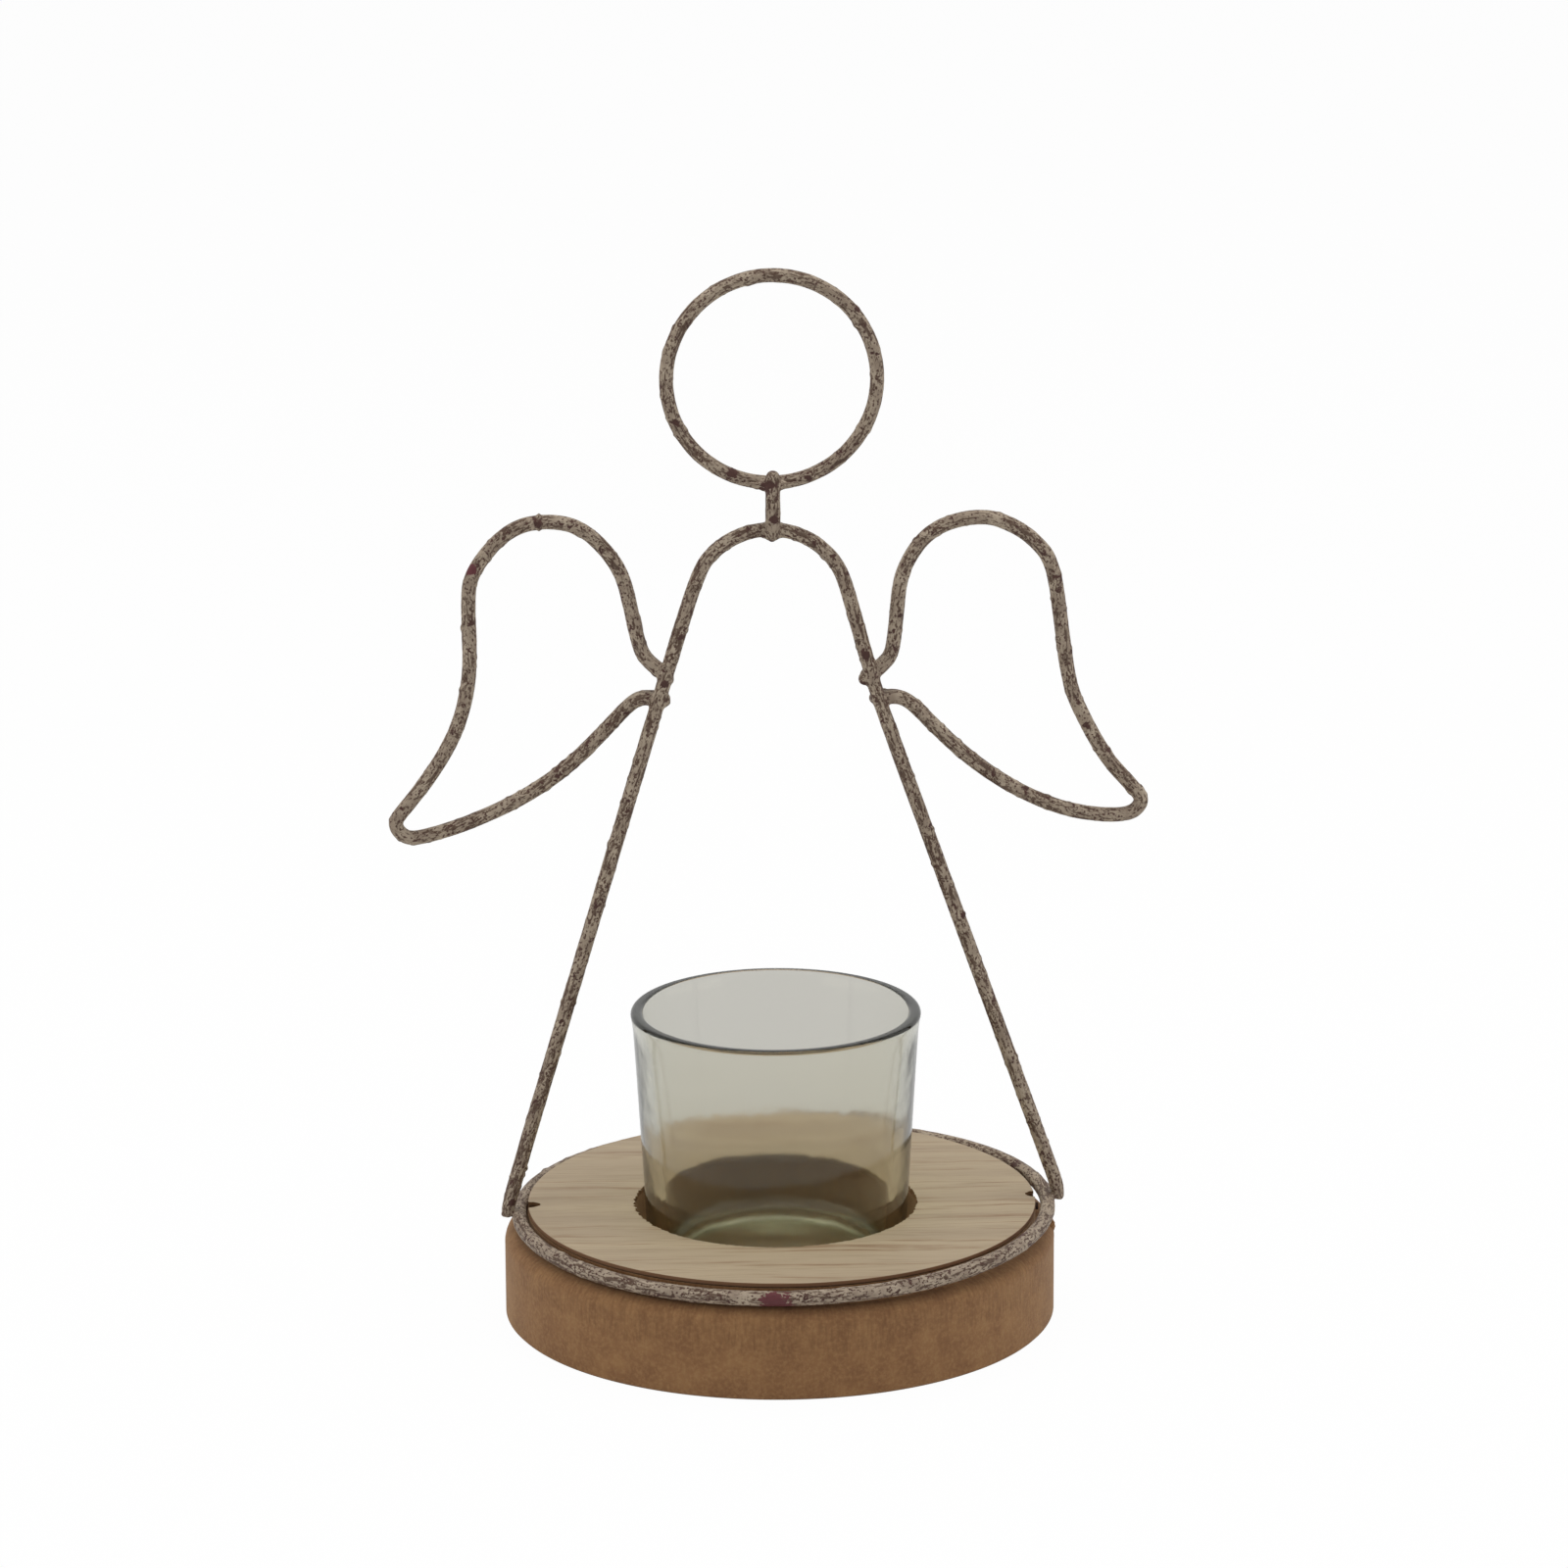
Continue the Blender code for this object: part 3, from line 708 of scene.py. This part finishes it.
body = copy_node("body_wire", "painted_body")
swell(body, smoothing_loss)
stubs = []
for name, side, cross in (
    ("wing_left", -1.0, left_cross_upper),
    ("wing_right", 1.0, right_cross_upper),
):
    stub = copy_node(name, "stub")
    swell(stub, smoothing_loss)
    trim(stub, (cross.x + side * stub_length, 0.0, 0.0), (-side, 0.0, 0.0))
    trim(stub, (cross.x - side * stub_overlap, 0.0, 0.0), (side, 0.0, 0.0))
    for vertex in stub.data.vertices:
        nearness = 1.0 - abs(vertex.co.x - cross.x) / stub_length
        vertex.co.y -= wing_stub_step * max(0.0, nearness)
    stubs.append(stub)
for side in (-1.0, 1.0):
    stub = copy_node("base_ring", "stub")
    swell(stub, smoothing_loss)
    trim(stub, (side * foot_reach + upper_centre[0], 0.0, 0.0), (side, 0.0, 0.0))
    stubs.append(stub)
stub = copy_node("neck_wire", "stub")
swell(stub, smoothing_loss)
trim(stub, (0.0, 0.0, body_high.z + neck_overlap), (0.0, 0.0, -1.0))
for vertex in stub.data.vertices:
    vertex.co.y += neck_stub_step
stubs.append(stub)
# Drops of weld metal at the crossings, and a burr on each leg.
for place, size in (
    ((-0.0233, 0.0004, 0.1419), 0.0009),
    ((-0.0240, 0.0004, 0.1378), 0.0013),
    ((0.0188, 0.0002, 0.1414), 0.0014),
    ((-0.0024, -0.0006, 0.1752), 0.0012),
    ((0.0008, -0.0006, 0.1752), 0.0012),
    ((-0.0554, -0.0003, 0.0330), 0.0007),
    ((0.0399, -0.0008, 0.0888), 0.0008),
):
    stubs.append(bead(place, size))
# Weld metal that ran down to a point under the arch.
bpy.ops.mesh.primitive_cone_add(
    vertices=32, radius1=0.0052, radius2=0.0, depth=0.0034, location=(-0.0009, -0.0003, 0.17325),
    rotation=(math.pi, 0.0, 0.0), scale=(1.0, 0.27, 1.0),
)
stubs.append(bpy.context.object)
fuse(body, stubs, body_grain)
welds = [left_cross_upper, left_cross_lower, right_cross_upper, right_cross_lower, neck_arch_cross]
soften(body, [Vector((0.0, 0.0, 0.0))], everywhere, 2)
soften(body, welds, weld_reach, 9)
soften(body, [foot_left, foot_right], foot_weld_reach, 5)
mark_run(body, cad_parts["body_wire"], foot_left, 0.0)
weather(body, weld_paint)
finish_shape(body, all_smooth)

fleck_size = 0.0005
fleck_stretch = 0.5
streak_width = 0.00074074
streak_stretch = 0.16
paint_cloud_size = 0.0038462
wear_cloud_size = 0.0076923
speck_spacing = 0.001
chip_size = 0.0021739
painted, tree, shader = new_material("greige_paint_worn_to_rusting_wire", 0.6)
# Greige paint over rusting wire: dark streaks and flecks rubbed through along the wire, specks and
# chips down to red-brown rust, and clouds of a darker and a paler paint between them.
place = add(tree, "ShaderNodeTexCoord", {}, take="Object")
shader.inputs["Specular IOR Level"].default_value = 0.3
facing = add(tree, "ShaderNodeNewGeometry", {}, take="Normal")
section = add(tree, "ShaderNodeVectorMath", {"Vector": facing, "Scale": wire_radius}, operation="SCALE")
run = add(tree, "ShaderNodeAttribute", {}, take="Fac", attribute_name="along_wire")
short_run = add(
    tree, "ShaderNodeMath",
    {"Value": run, "Value_001": fleck_stretch}, operation="MULTIPLY",
)
long_run = add(
    tree, "ShaderNodeMath",
    {"Value": run, "Value_001": streak_stretch}, operation="MULTIPLY",
)
clouds = add(
    tree, "ShaderNodeTexNoise",
    {"Vector": place, "Scale": 1.0 / paint_cloud_size, "Detail": 3.0, "Roughness": 0.6},
)
cloud_share = add(tree, "ShaderNodeMapRange", {"Value": clouds, "From Min": 0.35, "From Max": 0.65})
paint = add(
    tree, "ShaderNodeMix",
    {"Factor_Float": cloud_share, "A_Color": colour("8D7D6D"), "B_Color": colour("AD9E8B")},
    data_type="RGBA",
)
flecks = add(
    tree, "ShaderNodeTexNoise",
    {"Vector": section, "W": short_run, "Scale": 1.0 / fleck_size, "Detail": 4.0, "Roughness": 0.68},
    noise_dimensions="4D",
)
streaks = add(
    tree, "ShaderNodeTexNoise",
    {"Vector": section, "W": long_run, "Scale": 1.0 / streak_width, "Detail": 5.0, "Roughness": 0.66},
    noise_dimensions="4D",
)
wear_clouds = add(
    tree, "ShaderNodeTexNoise",
    {"Vector": place, "Scale": 1.0 / wear_cloud_size, "Detail": 2.0, "Roughness": 0.5},
)
wear = add(
    tree, "ShaderNodeMapRange",
    {"Value": wear_clouds, "From Min": 0.3, "From Max": 0.7, "To Min": -0.037, "To Max": 0.037},
)
worn_flecks = add(tree, "ShaderNodeMath", {"Value": flecks, "Value_001": wear}, operation="ADD")
worn_streaks = add(tree, "ShaderNodeMath", {"Value": streaks, "Value_001": wear}, operation="ADD")
fleck_share = add(
    tree, "ShaderNodeMapRange",
    {"Value": worn_flecks, "From Min": 0.525, "From Max": 0.57, "To Min": 0.0, "To Max": 0.95},
)
streak_share = add(
    tree, "ShaderNodeMapRange",
    {"Value": worn_streaks, "From Min": 0.525, "From Max": 0.57, "To Min": 0.0, "To Max": 0.85},
)
rubbed = add(
    tree, "ShaderNodeMath",
    {"Value": fleck_share, "Value_001": streak_share}, operation="MAXIMUM",
)
under = add(
    tree, "ShaderNodeMix",
    {"Factor_Float": clouds, "A_Color": colour("35231B"), "B_Color": colour("584032")},
    data_type="RGBA",
)
flecked = add(
    tree, "ShaderNodeMix",
    {"Factor_Float": rubbed, "A_Color": paint, "B_Color": under}, data_type="RGBA",
)
specks = add(
    tree, "ShaderNodeTexVoronoi",
    {"Vector": place, "Scale": 1.0 / speck_spacing}, take="Distance",
)
ragged_specks = add(
    tree, "ShaderNodeMath",
    {"Value": flecks, "Value_001": -0.6, "Value_002": specks}, operation="MULTIPLY_ADD",
)
speck_share = add(
    tree, "ShaderNodeMapRange",
    {"Value": ragged_specks, "From Min": -0.08, "From Max": -0.02, "To Min": 0.9, "To Max": 0.0},
)
chips = add(
    tree, "ShaderNodeTexNoise",
    {"Vector": place, "Scale": 1.0 / chip_size, "Detail": 4.0, "Roughness": 0.6, "Distortion": 0.4},
)
broad_chips = add(tree, "ShaderNodeMapRange", {"Value": chips, "From Min": 0.62, "From Max": 0.65})
chip_share = add(
    tree, "ShaderNodeMath",
    {"Value": broad_chips, "Value_001": speck_share}, operation="MAXIMUM",
)
rust_tone = add(
    tree, "ShaderNodeMix",
    {"Factor_Float": flecks, "A_Color": colour("2E1F1A"), "B_Color": colour("5B3C35")},
    data_type="RGBA",
)
primer_tone = add(
    tree, "ShaderNodeMix",
    {"Factor_Float": flecks, "A_Color": colour("482225"), "B_Color": colour("6C3C3F")},
    data_type="RGBA",
)
chipped = add(
    tree, "ShaderNodeMix",
    {"Factor_Float": chip_share, "A_Color": flecked, "B_Color": rust_tone}, data_type="RGBA",
)
# Larger chips in the places where the wire was handled or welded, and one down to a red primer.
chip_edge = add(
    tree, "ShaderNodeMath",
    {"Value": flecks, "Value_001": 0.9, "Value_002": chips}, operation="MULTIPLY_ADD",
)
for spot, size, tone in (
    ((-0.0039, -0.0590, 0.0206), 0.0037, primer_tone),
    ((0.0500, -0.0280, 0.0235), 0.0026, rust_tone),
    ((0.0522, 0.0207, 0.0252), 0.0026, rust_tone),
    ((-0.0506, 0.0009, 0.1766), 0.0010, rust_tone),
    ((-0.0651, 0.0009, 0.1666), 0.0014, primer_tone),
    ((-0.0651, 0.0009, 0.1552), 0.0009, rust_tone),
    ((0.0403, -0.0012, 0.0888), 0.0009, rust_tone),
    ((-0.0585, -0.0016, 0.0254), 0.0012, rust_tone),
    ((0.0612, 0.0012, 0.1624), 0.0010, rust_tone),
    ((-0.0093, -0.0010, 0.1872), 0.0014, rust_tone),
    ((0.0067, -0.0010, 0.1861), 0.0009, rust_tone),
    ((-0.0024, -0.0035, 0.1852), 0.0019, rust_tone),
    ((-0.0006, -0.0038, 0.1776), 0.0012, rust_tone),
    ((-0.0239, -0.0016, 0.1414), 0.0010, rust_tone),
    ((0.0184, -0.0006, 0.1409), 0.0009, rust_tone),
    ((0.0187, -0.0016, 0.1470), 0.0012, rust_tone),
):
    distance = add(
        tree, "ShaderNodeVectorMath",
        {"Vector": place, "Vector_001": spot}, take="Value", operation="DISTANCE",
    )
    nearness = add(
        tree, "ShaderNodeMapRange",
        {"Value": distance, "From Min": 0.0, "From Max": 2.0 * size, "To Min": 0.65, "To Max": -0.2},
    )
    broken = add(tree, "ShaderNodeMath", {"Value": nearness, "Value_001": chip_edge}, operation="ADD")
    spot_share = add(tree, "ShaderNodeMapRange", {"Value": broken, "From Min": 1.17, "From Max": 1.24})
    chipped = add(
        tree, "ShaderNodeMix",
        {"Factor_Float": spot_share, "A_Color": chipped, "B_Color": tone}, data_type="RGBA",
    )
    chip_share = add(
        tree, "ShaderNodeMath",
        {"Value": chip_share, "Value_001": spot_share}, operation="MAXIMUM",
    )
tree.links.new(chipped, shader.inputs["Base Color"])
bare = add(tree, "ShaderNodeMath", {"Value": rubbed, "Value_001": chip_share}, operation="MAXIMUM")
paint_height = add(tree, "ShaderNodeMath", {"Value": 1.0, "Value_001": bare}, operation="SUBTRACT")
relief = add(tree, "ShaderNodeMath", {"Value": paint_height, "Value_001": flecks}, operation="ADD")
bump = add(tree, "ShaderNodeBump", {"Height": relief, "Strength": 0.5, "Distance": 0.00012})
tree.links.new(bump, shader.inputs["Normal"])

body.data.materials.clear()
body.data.materials.append(painted)
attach(body, "root")
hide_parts("body_wire")


# Ring. One welded loop of the same wire round the disc, carried by the two pins. It hangs a little
# askew and sags between them.
ring_low, ring_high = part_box("base_ring")
ring_middle = (ring_low + ring_high) / 2.0
ring_radius = (ring_high.x - ring_low.x) / 2.0 - wire_radius
ring_rise_to_right = math.radians(0.7)
ring_sag = 0.0008
ring_steps = 900
bpy.ops.mesh.primitive_torus_add(
    major_segments=ring_steps, minor_segments=wire_sides, major_radius=ring_radius,
    minor_radius=wire_radius, location=ring_middle, rotation=(0.0, -ring_rise_to_right, 0.0),
)
ring = bpy.context.object
ring.name = "painted_ring"
bpy.ops.object.transform_apply(location=True, rotation=True, scale=True)
for vertex in ring.data.vertices:
    vertex.co.z -= ring_sag * (vertex.co.y / ring_radius) ** 2
runs = [
    math.atan2(vertex.co.y - ring_middle.y, vertex.co.x - ring_middle.x) * ring_radius
    for vertex in ring.data.vertices
]
write_runs(ring, runs)
weather(ring, 0.0)
finish_shape(ring, all_smooth)
ring.data.materials.append(painted)
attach(ring, "root")
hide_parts("base_ring")


# Wings. Each is one length of the wire, bent by hand round pegs into a wing's outline, its two ends
# crossing behind the leg and welded to it. A run of paint went hard on each wing.
wing_grain = 0.00022
wing_paint = 0.00003
for node, name, side, cross, offset in (
    ("wing_left", "painted_wing_left", -1.0, left_cross_upper, 0.7),
    ("wing_right", "painted_wing_right", 1.0, right_cross_upper, 1.4),
):
    wing = copy_node(node, name)
    swell(wing, smoothing_loss)
    extras = []
    if side < 0.0:
        trim(wing, (cross.x + stub_overlap, 0.0, 0.0), (-1.0, 0.0, 0.0))
        extras.append(bead((-0.0504, 0.0024, 0.1765), 0.00195, (0.32, 1.0, 1.0)))
    else:
        extras.append(bead((0.0607, 0.0020, 0.1624), 0.0010, (0.6, 1.0, 1.9)))
    fuse(wing, extras, wing_grain)
    soften(wing, [Vector((0.0, 0.0, 0.0))], everywhere, 3)
    mark_run(wing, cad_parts[node], cross, offset)
    weather(wing, wing_paint)
    finish_shape(wing, all_smooth)
    wing.data.materials.clear()
    wing.data.materials.append(painted)
    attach(wing, "root")
    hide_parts(node)


# Neck. A short straight length of the wire, welded across the bottom of the halo and the top of the
# arch, in front of both. The halo's weld is part of this piece, with a stub of the halo.
neck_grain = 0.0002
halo_stub_rise = 0.0004
halo_stub_reach = 0.0080
halo_stub_step = 0.0014
neck_wear_offset = 2.1
halo_weld_reach = 0.0055
neck = copy_node("neck_wire", "painted_neck")
swell(neck, smoothing_loss)
trim(neck, (0.0, 0.0, body_high.z - neck_overlap), (0.0, 0.0, 1.0))
halo_stub = copy_node("halo_ring", "stub")
swell(halo_stub, smoothing_loss)
trim(halo_stub, (0.0, 0.0, neck_halo_cross.z + halo_stub_rise), (0.0, 0.0, -1.0))
for vertex in halo_stub.data.vertices:
    nearness = 1.0 - abs(vertex.co.x - neck_halo_cross.x) / halo_stub_reach
    vertex.co.y -= halo_stub_step * max(0.0, nearness)
weld_metal = [halo_stub]
for place, size in (
    ((-0.0026, -0.0012, 0.1848), 0.0015),
    ((0.0008, -0.0012, 0.1847), 0.0013),
):
    weld_metal.append(bead(place, size))
fuse(neck, weld_metal, neck_grain)
soften(neck, [neck_halo_cross], halo_weld_reach, 9)
mark_run(neck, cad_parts["neck_wire"], neck_arch_cross, neck_wear_offset)
weather(neck, weld_paint)
finish_shape(neck, all_smooth)
neck.data.materials.clear()
neck.data.materials.append(painted)
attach(neck, "root")
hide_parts("neck_wire")


# Halo. One welded loop of the wire, upright over the arch, painted with the rest. It is closed all
# round, and the neck holds it at its lowest point.
halo_steps = 420
halo_low, halo_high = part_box("halo_ring")
halo_middle = (halo_low + halo_high) / 2.0
halo_wire_radius = 0.0015
halo_wear_offset = 3.1
halo_radius = (halo_high.x - halo_low.x) / 2.0 - halo_wire_radius
bpy.ops.mesh.primitive_torus_add(
    major_segments=halo_steps, minor_segments=wire_sides, major_radius=halo_radius,
    minor_radius=halo_wire_radius, location=halo_middle, rotation=(math.pi / 2.0, 0.0, 0.0),
)
halo = bpy.context.object
halo.name = "painted_halo"
bpy.ops.object.transform_apply(location=True, rotation=True, scale=True)
runs = []
for vertex in halo.data.vertices:
    turned = math.atan2(vertex.co.x - halo_middle.x, vertex.co.z - halo_middle.z)
    runs.append(turned * halo_radius + halo_wear_offset)
write_runs(halo, runs)
weather(halo, 0.0)
finish_shape(halo, all_smooth)
halo.data.materials.append(painted)
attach(halo, "root")
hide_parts("halo_ring")


# Glass. A pressed votive cup of soda-lime glass with a heavy base, a wall that flares a little and
# thins towards a fire-rounded rim. It stands loose in the bore.
glass_low, glass_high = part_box("glass_cup")
glass_centre = (-0.0006, 0.0)
glass_foot_radius = 0.0279
glass_rim_radius = glass_high.x - glass_centre[0]
glass_wall = 0.0027
glass_wall_thickening = 0.0023
glass_base = 0.0095
glass_heel = 0.0022
glass_inner_heel = 0.0028
glass_flare = 0.2
glass_segments = 224
glass_punt_radius = 0.0222
glass_punt_depth = 0.0010
glass_punt_slope = 0.0010
glass_foot_edge = 0.0003
glass_dish_radius = 0.0040
glass_dish_depth = 0.0002
lip_round = 0.0009
lip_bead = 0.0003
lip_depth = 0.0012
lip_swell = 0.0002
lip_swell_depth = 0.0010
wall_start = glass_low.z + glass_heel
wall_end = glass_high.z - lip_round


def wall_radius(height):
    share = (height - wall_start) / (wall_end - wall_start)
    return glass_foot_radius + (glass_rim_radius - lip_bead - glass_foot_radius) * (
        (1.0 - glass_flare) * share + glass_flare * share ** 2
    )


def inner_wall_radius(height):
    share = (height - wall_start) / (wall_end - wall_start)
    return wall_radius(height) + lip_bead - glass_wall - glass_wall_thickening * (1.0 - share)


glass_rings = [
    (glass_punt_radius * 0.3, glass_low.z + glass_punt_depth, glass_centre),
    (glass_punt_radius, glass_low.z + glass_punt_depth, glass_centre),
]
glass_rings += rounded(
    glass_punt_radius + glass_punt_slope, glass_low.z + glass_foot_edge, glass_foot_edge, 200.0, 270.0,
    glass_centre, 3,
)
glass_rings += rounded(
    glass_foot_radius - glass_heel, glass_low.z + glass_heel, glass_heel, -90.0, 0.0, glass_centre, 8
)
wall_steps = 24
for step in range(1, wall_steps):
    height = wall_start + (wall_end - lip_depth - wall_start) * step / wall_steps
    glass_rings.append((wall_radius(height), height, glass_centre))
glass_rings.append((glass_rim_radius - lip_swell, wall_end - lip_swell_depth, glass_centre))
glass_rings += rounded(glass_rim_radius - lip_round, wall_end, lip_round, 0.0, 90.0, glass_centre, 7)
glass_rings += rounded(
    glass_rim_radius - glass_wall + lip_round, wall_end, lip_round, 90.0, 180.0, glass_centre, 7
)
inner_height = glass_low.z + glass_base + glass_inner_heel
for step in range(1, wall_steps):
    height = wall_end - (wall_end - inner_height) * step / wall_steps
    glass_rings.append((inner_wall_radius(height), height, glass_centre))
glass_rings += rounded(
    inner_wall_radius(inner_height) - glass_inner_heel, inner_height, glass_inner_heel, 0.0, -90.0,
    glass_centre, 9,
)
glass_rings.append((glass_dish_radius, glass_low.z + glass_base - glass_dish_depth, glass_centre))
glass = raise_rings("pressed_glass_cup", glass_segments, glass_rings)
finish_shape(glass, 40.0)

ripple_size = 0.0076923
haze_from = 0.0130
haze_gone = 0.0190
cup_glass, tree, shader = new_material("soda_lime_glass_pressed", 0.05, ior=1.52)
# Clear pressed glass, a little grey, with the green of soda-lime glass where it is thick and where
# light runs inside its wall, the soft ripples of a pressing and a hazy base.
shader.inputs["Base Color"].default_value = colour("F9F6F0")
shader.inputs["Specular Tint"].default_value = colour("F8F8EE")
shader.inputs["Transmission Weight"].default_value = 1.0
place = add(tree, "ShaderNodeTexCoord", {}, take="Object")
height = add(tree, "ShaderNodeSeparateXYZ", {"Vector": place}, take="Z")
haze = add(
    tree, "ShaderNodeMapRange",
    {"Value": height, "From Min": haze_from, "From Max": haze_gone, "To Min": 0.22, "To Max": 0.08},
)
tree.links.new(haze, shader.inputs["Roughness"])
ripple = add(tree, "ShaderNodeTexNoise", {"Vector": place, "Scale": 1.0 / ripple_size, "Detail": 2.0})
bump = add(tree, "ShaderNodeBump", {"Height": ripple, "Strength": 0.35, "Distance": 0.0002})
tree.links.new(bump, shader.inputs["Normal"])
depth_tint = add(
    tree, "ShaderNodeVolumeAbsorption", {"Color": colour("CFDCAA"), "Density": 32.0}, take="Volume",
)
# Light falls through the glass on what stands behind it instead of leaving it in full shadow.
path = add(tree, "ShaderNodeLightPath", {}, take="Is Shadow Ray")
clear = add(tree, "ShaderNodeBsdfTransparent", {"Color": colour("EDEEE6")})
lit_through = add(
    tree, "ShaderNodeMixShader", {"Fac": path, "Shader": shader.outputs["BSDF"], "Shader_001": clear},
)
output = next(node for node in tree.nodes if node.type == "OUTPUT_MATERIAL")
tree.links.new(lit_through, output.inputs["Surface"])
tree.links.new(depth_tint, output.inputs["Volume"])
glass.data.materials.append(cup_glass)
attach(glass, "root")
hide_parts("glass_cup")


# Studio. A plain pale floor and a white surround, a shade greyer where they are mirrored or seen
# through glass, and soft lamps above and to both sides, which nothing mirrors.
floor_size = 14.0
seen_through_glass = 0.58
seen_mirrored = 0.75
washed_out = 0.97
ambient = 0.32
bpy.ops.mesh.primitive_plane_add(size=floor_size)
floor = bpy.context.object
floor.name = "studio_floor"
bpy.ops.object.transform_apply(location=True, rotation=True, scale=True)
floor_paper, tree, shader = new_material("matt_white_paper", 0.9)
# White paper that washes out to pure white in the camera, and keeps a trace of the object's shadow.
shader.inputs["Base Color"].default_value = colour("F2F2F0")
path = add(tree, "ShaderNodeLightPath", {}, take="Is Camera Ray").node
mirrored = add(
    tree, "ShaderNodeMath",
    {"Value": path.outputs["Is Camera Ray"], "Value_001": path.outputs["Is Glossy Ray"]},
    operation="MAXIMUM",
)
seen = add(
    tree, "ShaderNodeMath",
    {"Value": mirrored, "Value_001": path.outputs["Is Transmission Ray"]}, operation="MAXIMUM",
)
seen_share = add(tree, "ShaderNodeMath", {"Value": seen, "Value_001": washed_out}, operation="MULTIPLY")
mirror_level = add(
    tree, "ShaderNodeMapRange",
    {"Value": path.outputs["Is Glossy Ray"], "To Min": 1.0, "To Max": seen_mirrored},
)
brightness = add(
    tree, "ShaderNodeMapRange",
    {
        "Value": path.outputs["Is Transmission Ray"],
        "To Min": mirror_level, "To Max": seen_through_glass,
    },
)
white = add(tree, "ShaderNodeEmission", {"Color": (1.0, 1.0, 1.0, 1.0), "Strength": brightness})
output = next(node for node in tree.nodes if node.type == "OUTPUT_MATERIAL")
blend = add(
    tree, "ShaderNodeMixShader",
    {"Fac": seen_share, "Shader": shader.outputs["BSDF"], "Shader_001": white},
)
tree.links.new(blend, output.inputs["Surface"])
floor.data.materials.append(floor_paper)

world = bpy.data.worlds.new("white_surround")
world.use_nodes = True
bpy.context.scene.world = world
tree = world.node_tree
surround = tree.nodes["Background"]
path = add(tree, "ShaderNodeLightPath", {}, take="Is Camera Ray").node
mirror_level = add(
    tree, "ShaderNodeMapRange",
    {"Value": path.outputs["Is Glossy Ray"], "To Min": ambient, "To Max": seen_mirrored},
)
looked_at = add(
    tree, "ShaderNodeMath",
    {"Value": path.outputs["Is Camera Ray"], "Value_001": mirror_level}, operation="MAXIMUM",
)
level = add(
    tree, "ShaderNodeMapRange",
    {"Value": path.outputs["Is Transmission Ray"], "To Min": looked_at, "To Max": seen_through_glass},
)
surround.inputs["Color"].default_value = (1.0, 1.0, 1.0, 1.0)
tree.links.new(level, surround.inputs["Strength"])

for name, place, size, power in (
    ("lamp_top", (0.0, 0.10, 1.1), 0.9, 6.5),
    ("lamp_left", (-1.0, -0.30, 0.5), 1.4, 5.5),
    ("lamp_right", (1.0, -0.30, 0.5), 1.4, 5.5),
):
    lamp_data = bpy.data.lights.new(name, "AREA")
    lamp_data.shape = "SQUARE"
    lamp_data.size = size
    lamp_data.energy = power
    lamp = bpy.data.objects.new(name, lamp_data)
    lamp.location = place
    aim = Vector((0.0, 0.0, 0.08)) - Vector(place)
    lamp.rotation_euler = aim.to_track_quat("-Z", "Y").to_euler()
    lamp.visible_glossy = False
    bpy.context.scene.collection.objects.link(lamp)

# Camera. The photograph's own view: a long lens, fifteen degrees down, a little from the left.
camera_data = bpy.data.cameras.new("camera")
camera_data.sensor_width = 36.0
camera_data.lens = 157.5
camera_data.clip_end = 100.0
camera = bpy.data.objects.new("camera", camera_data)
bpy.context.scene.collection.objects.link(camera)
view_turn = Matrix.Rotation(math.radians(-3.057), 4, "Z")
view_pitch = Matrix.Rotation(math.radians(90.0 - 15.218), 4, "X")
view_roll = Matrix.Rotation(math.radians(-0.258), 4, "Z")
view_place = Matrix.Translation((-0.07444, -1.42049, 0.50546))
camera.matrix_world = view_place @ view_turn @ view_pitch @ view_roll
bpy.context.scene.camera = camera
bpy.context.scene.view_settings.view_transform = "Standard"
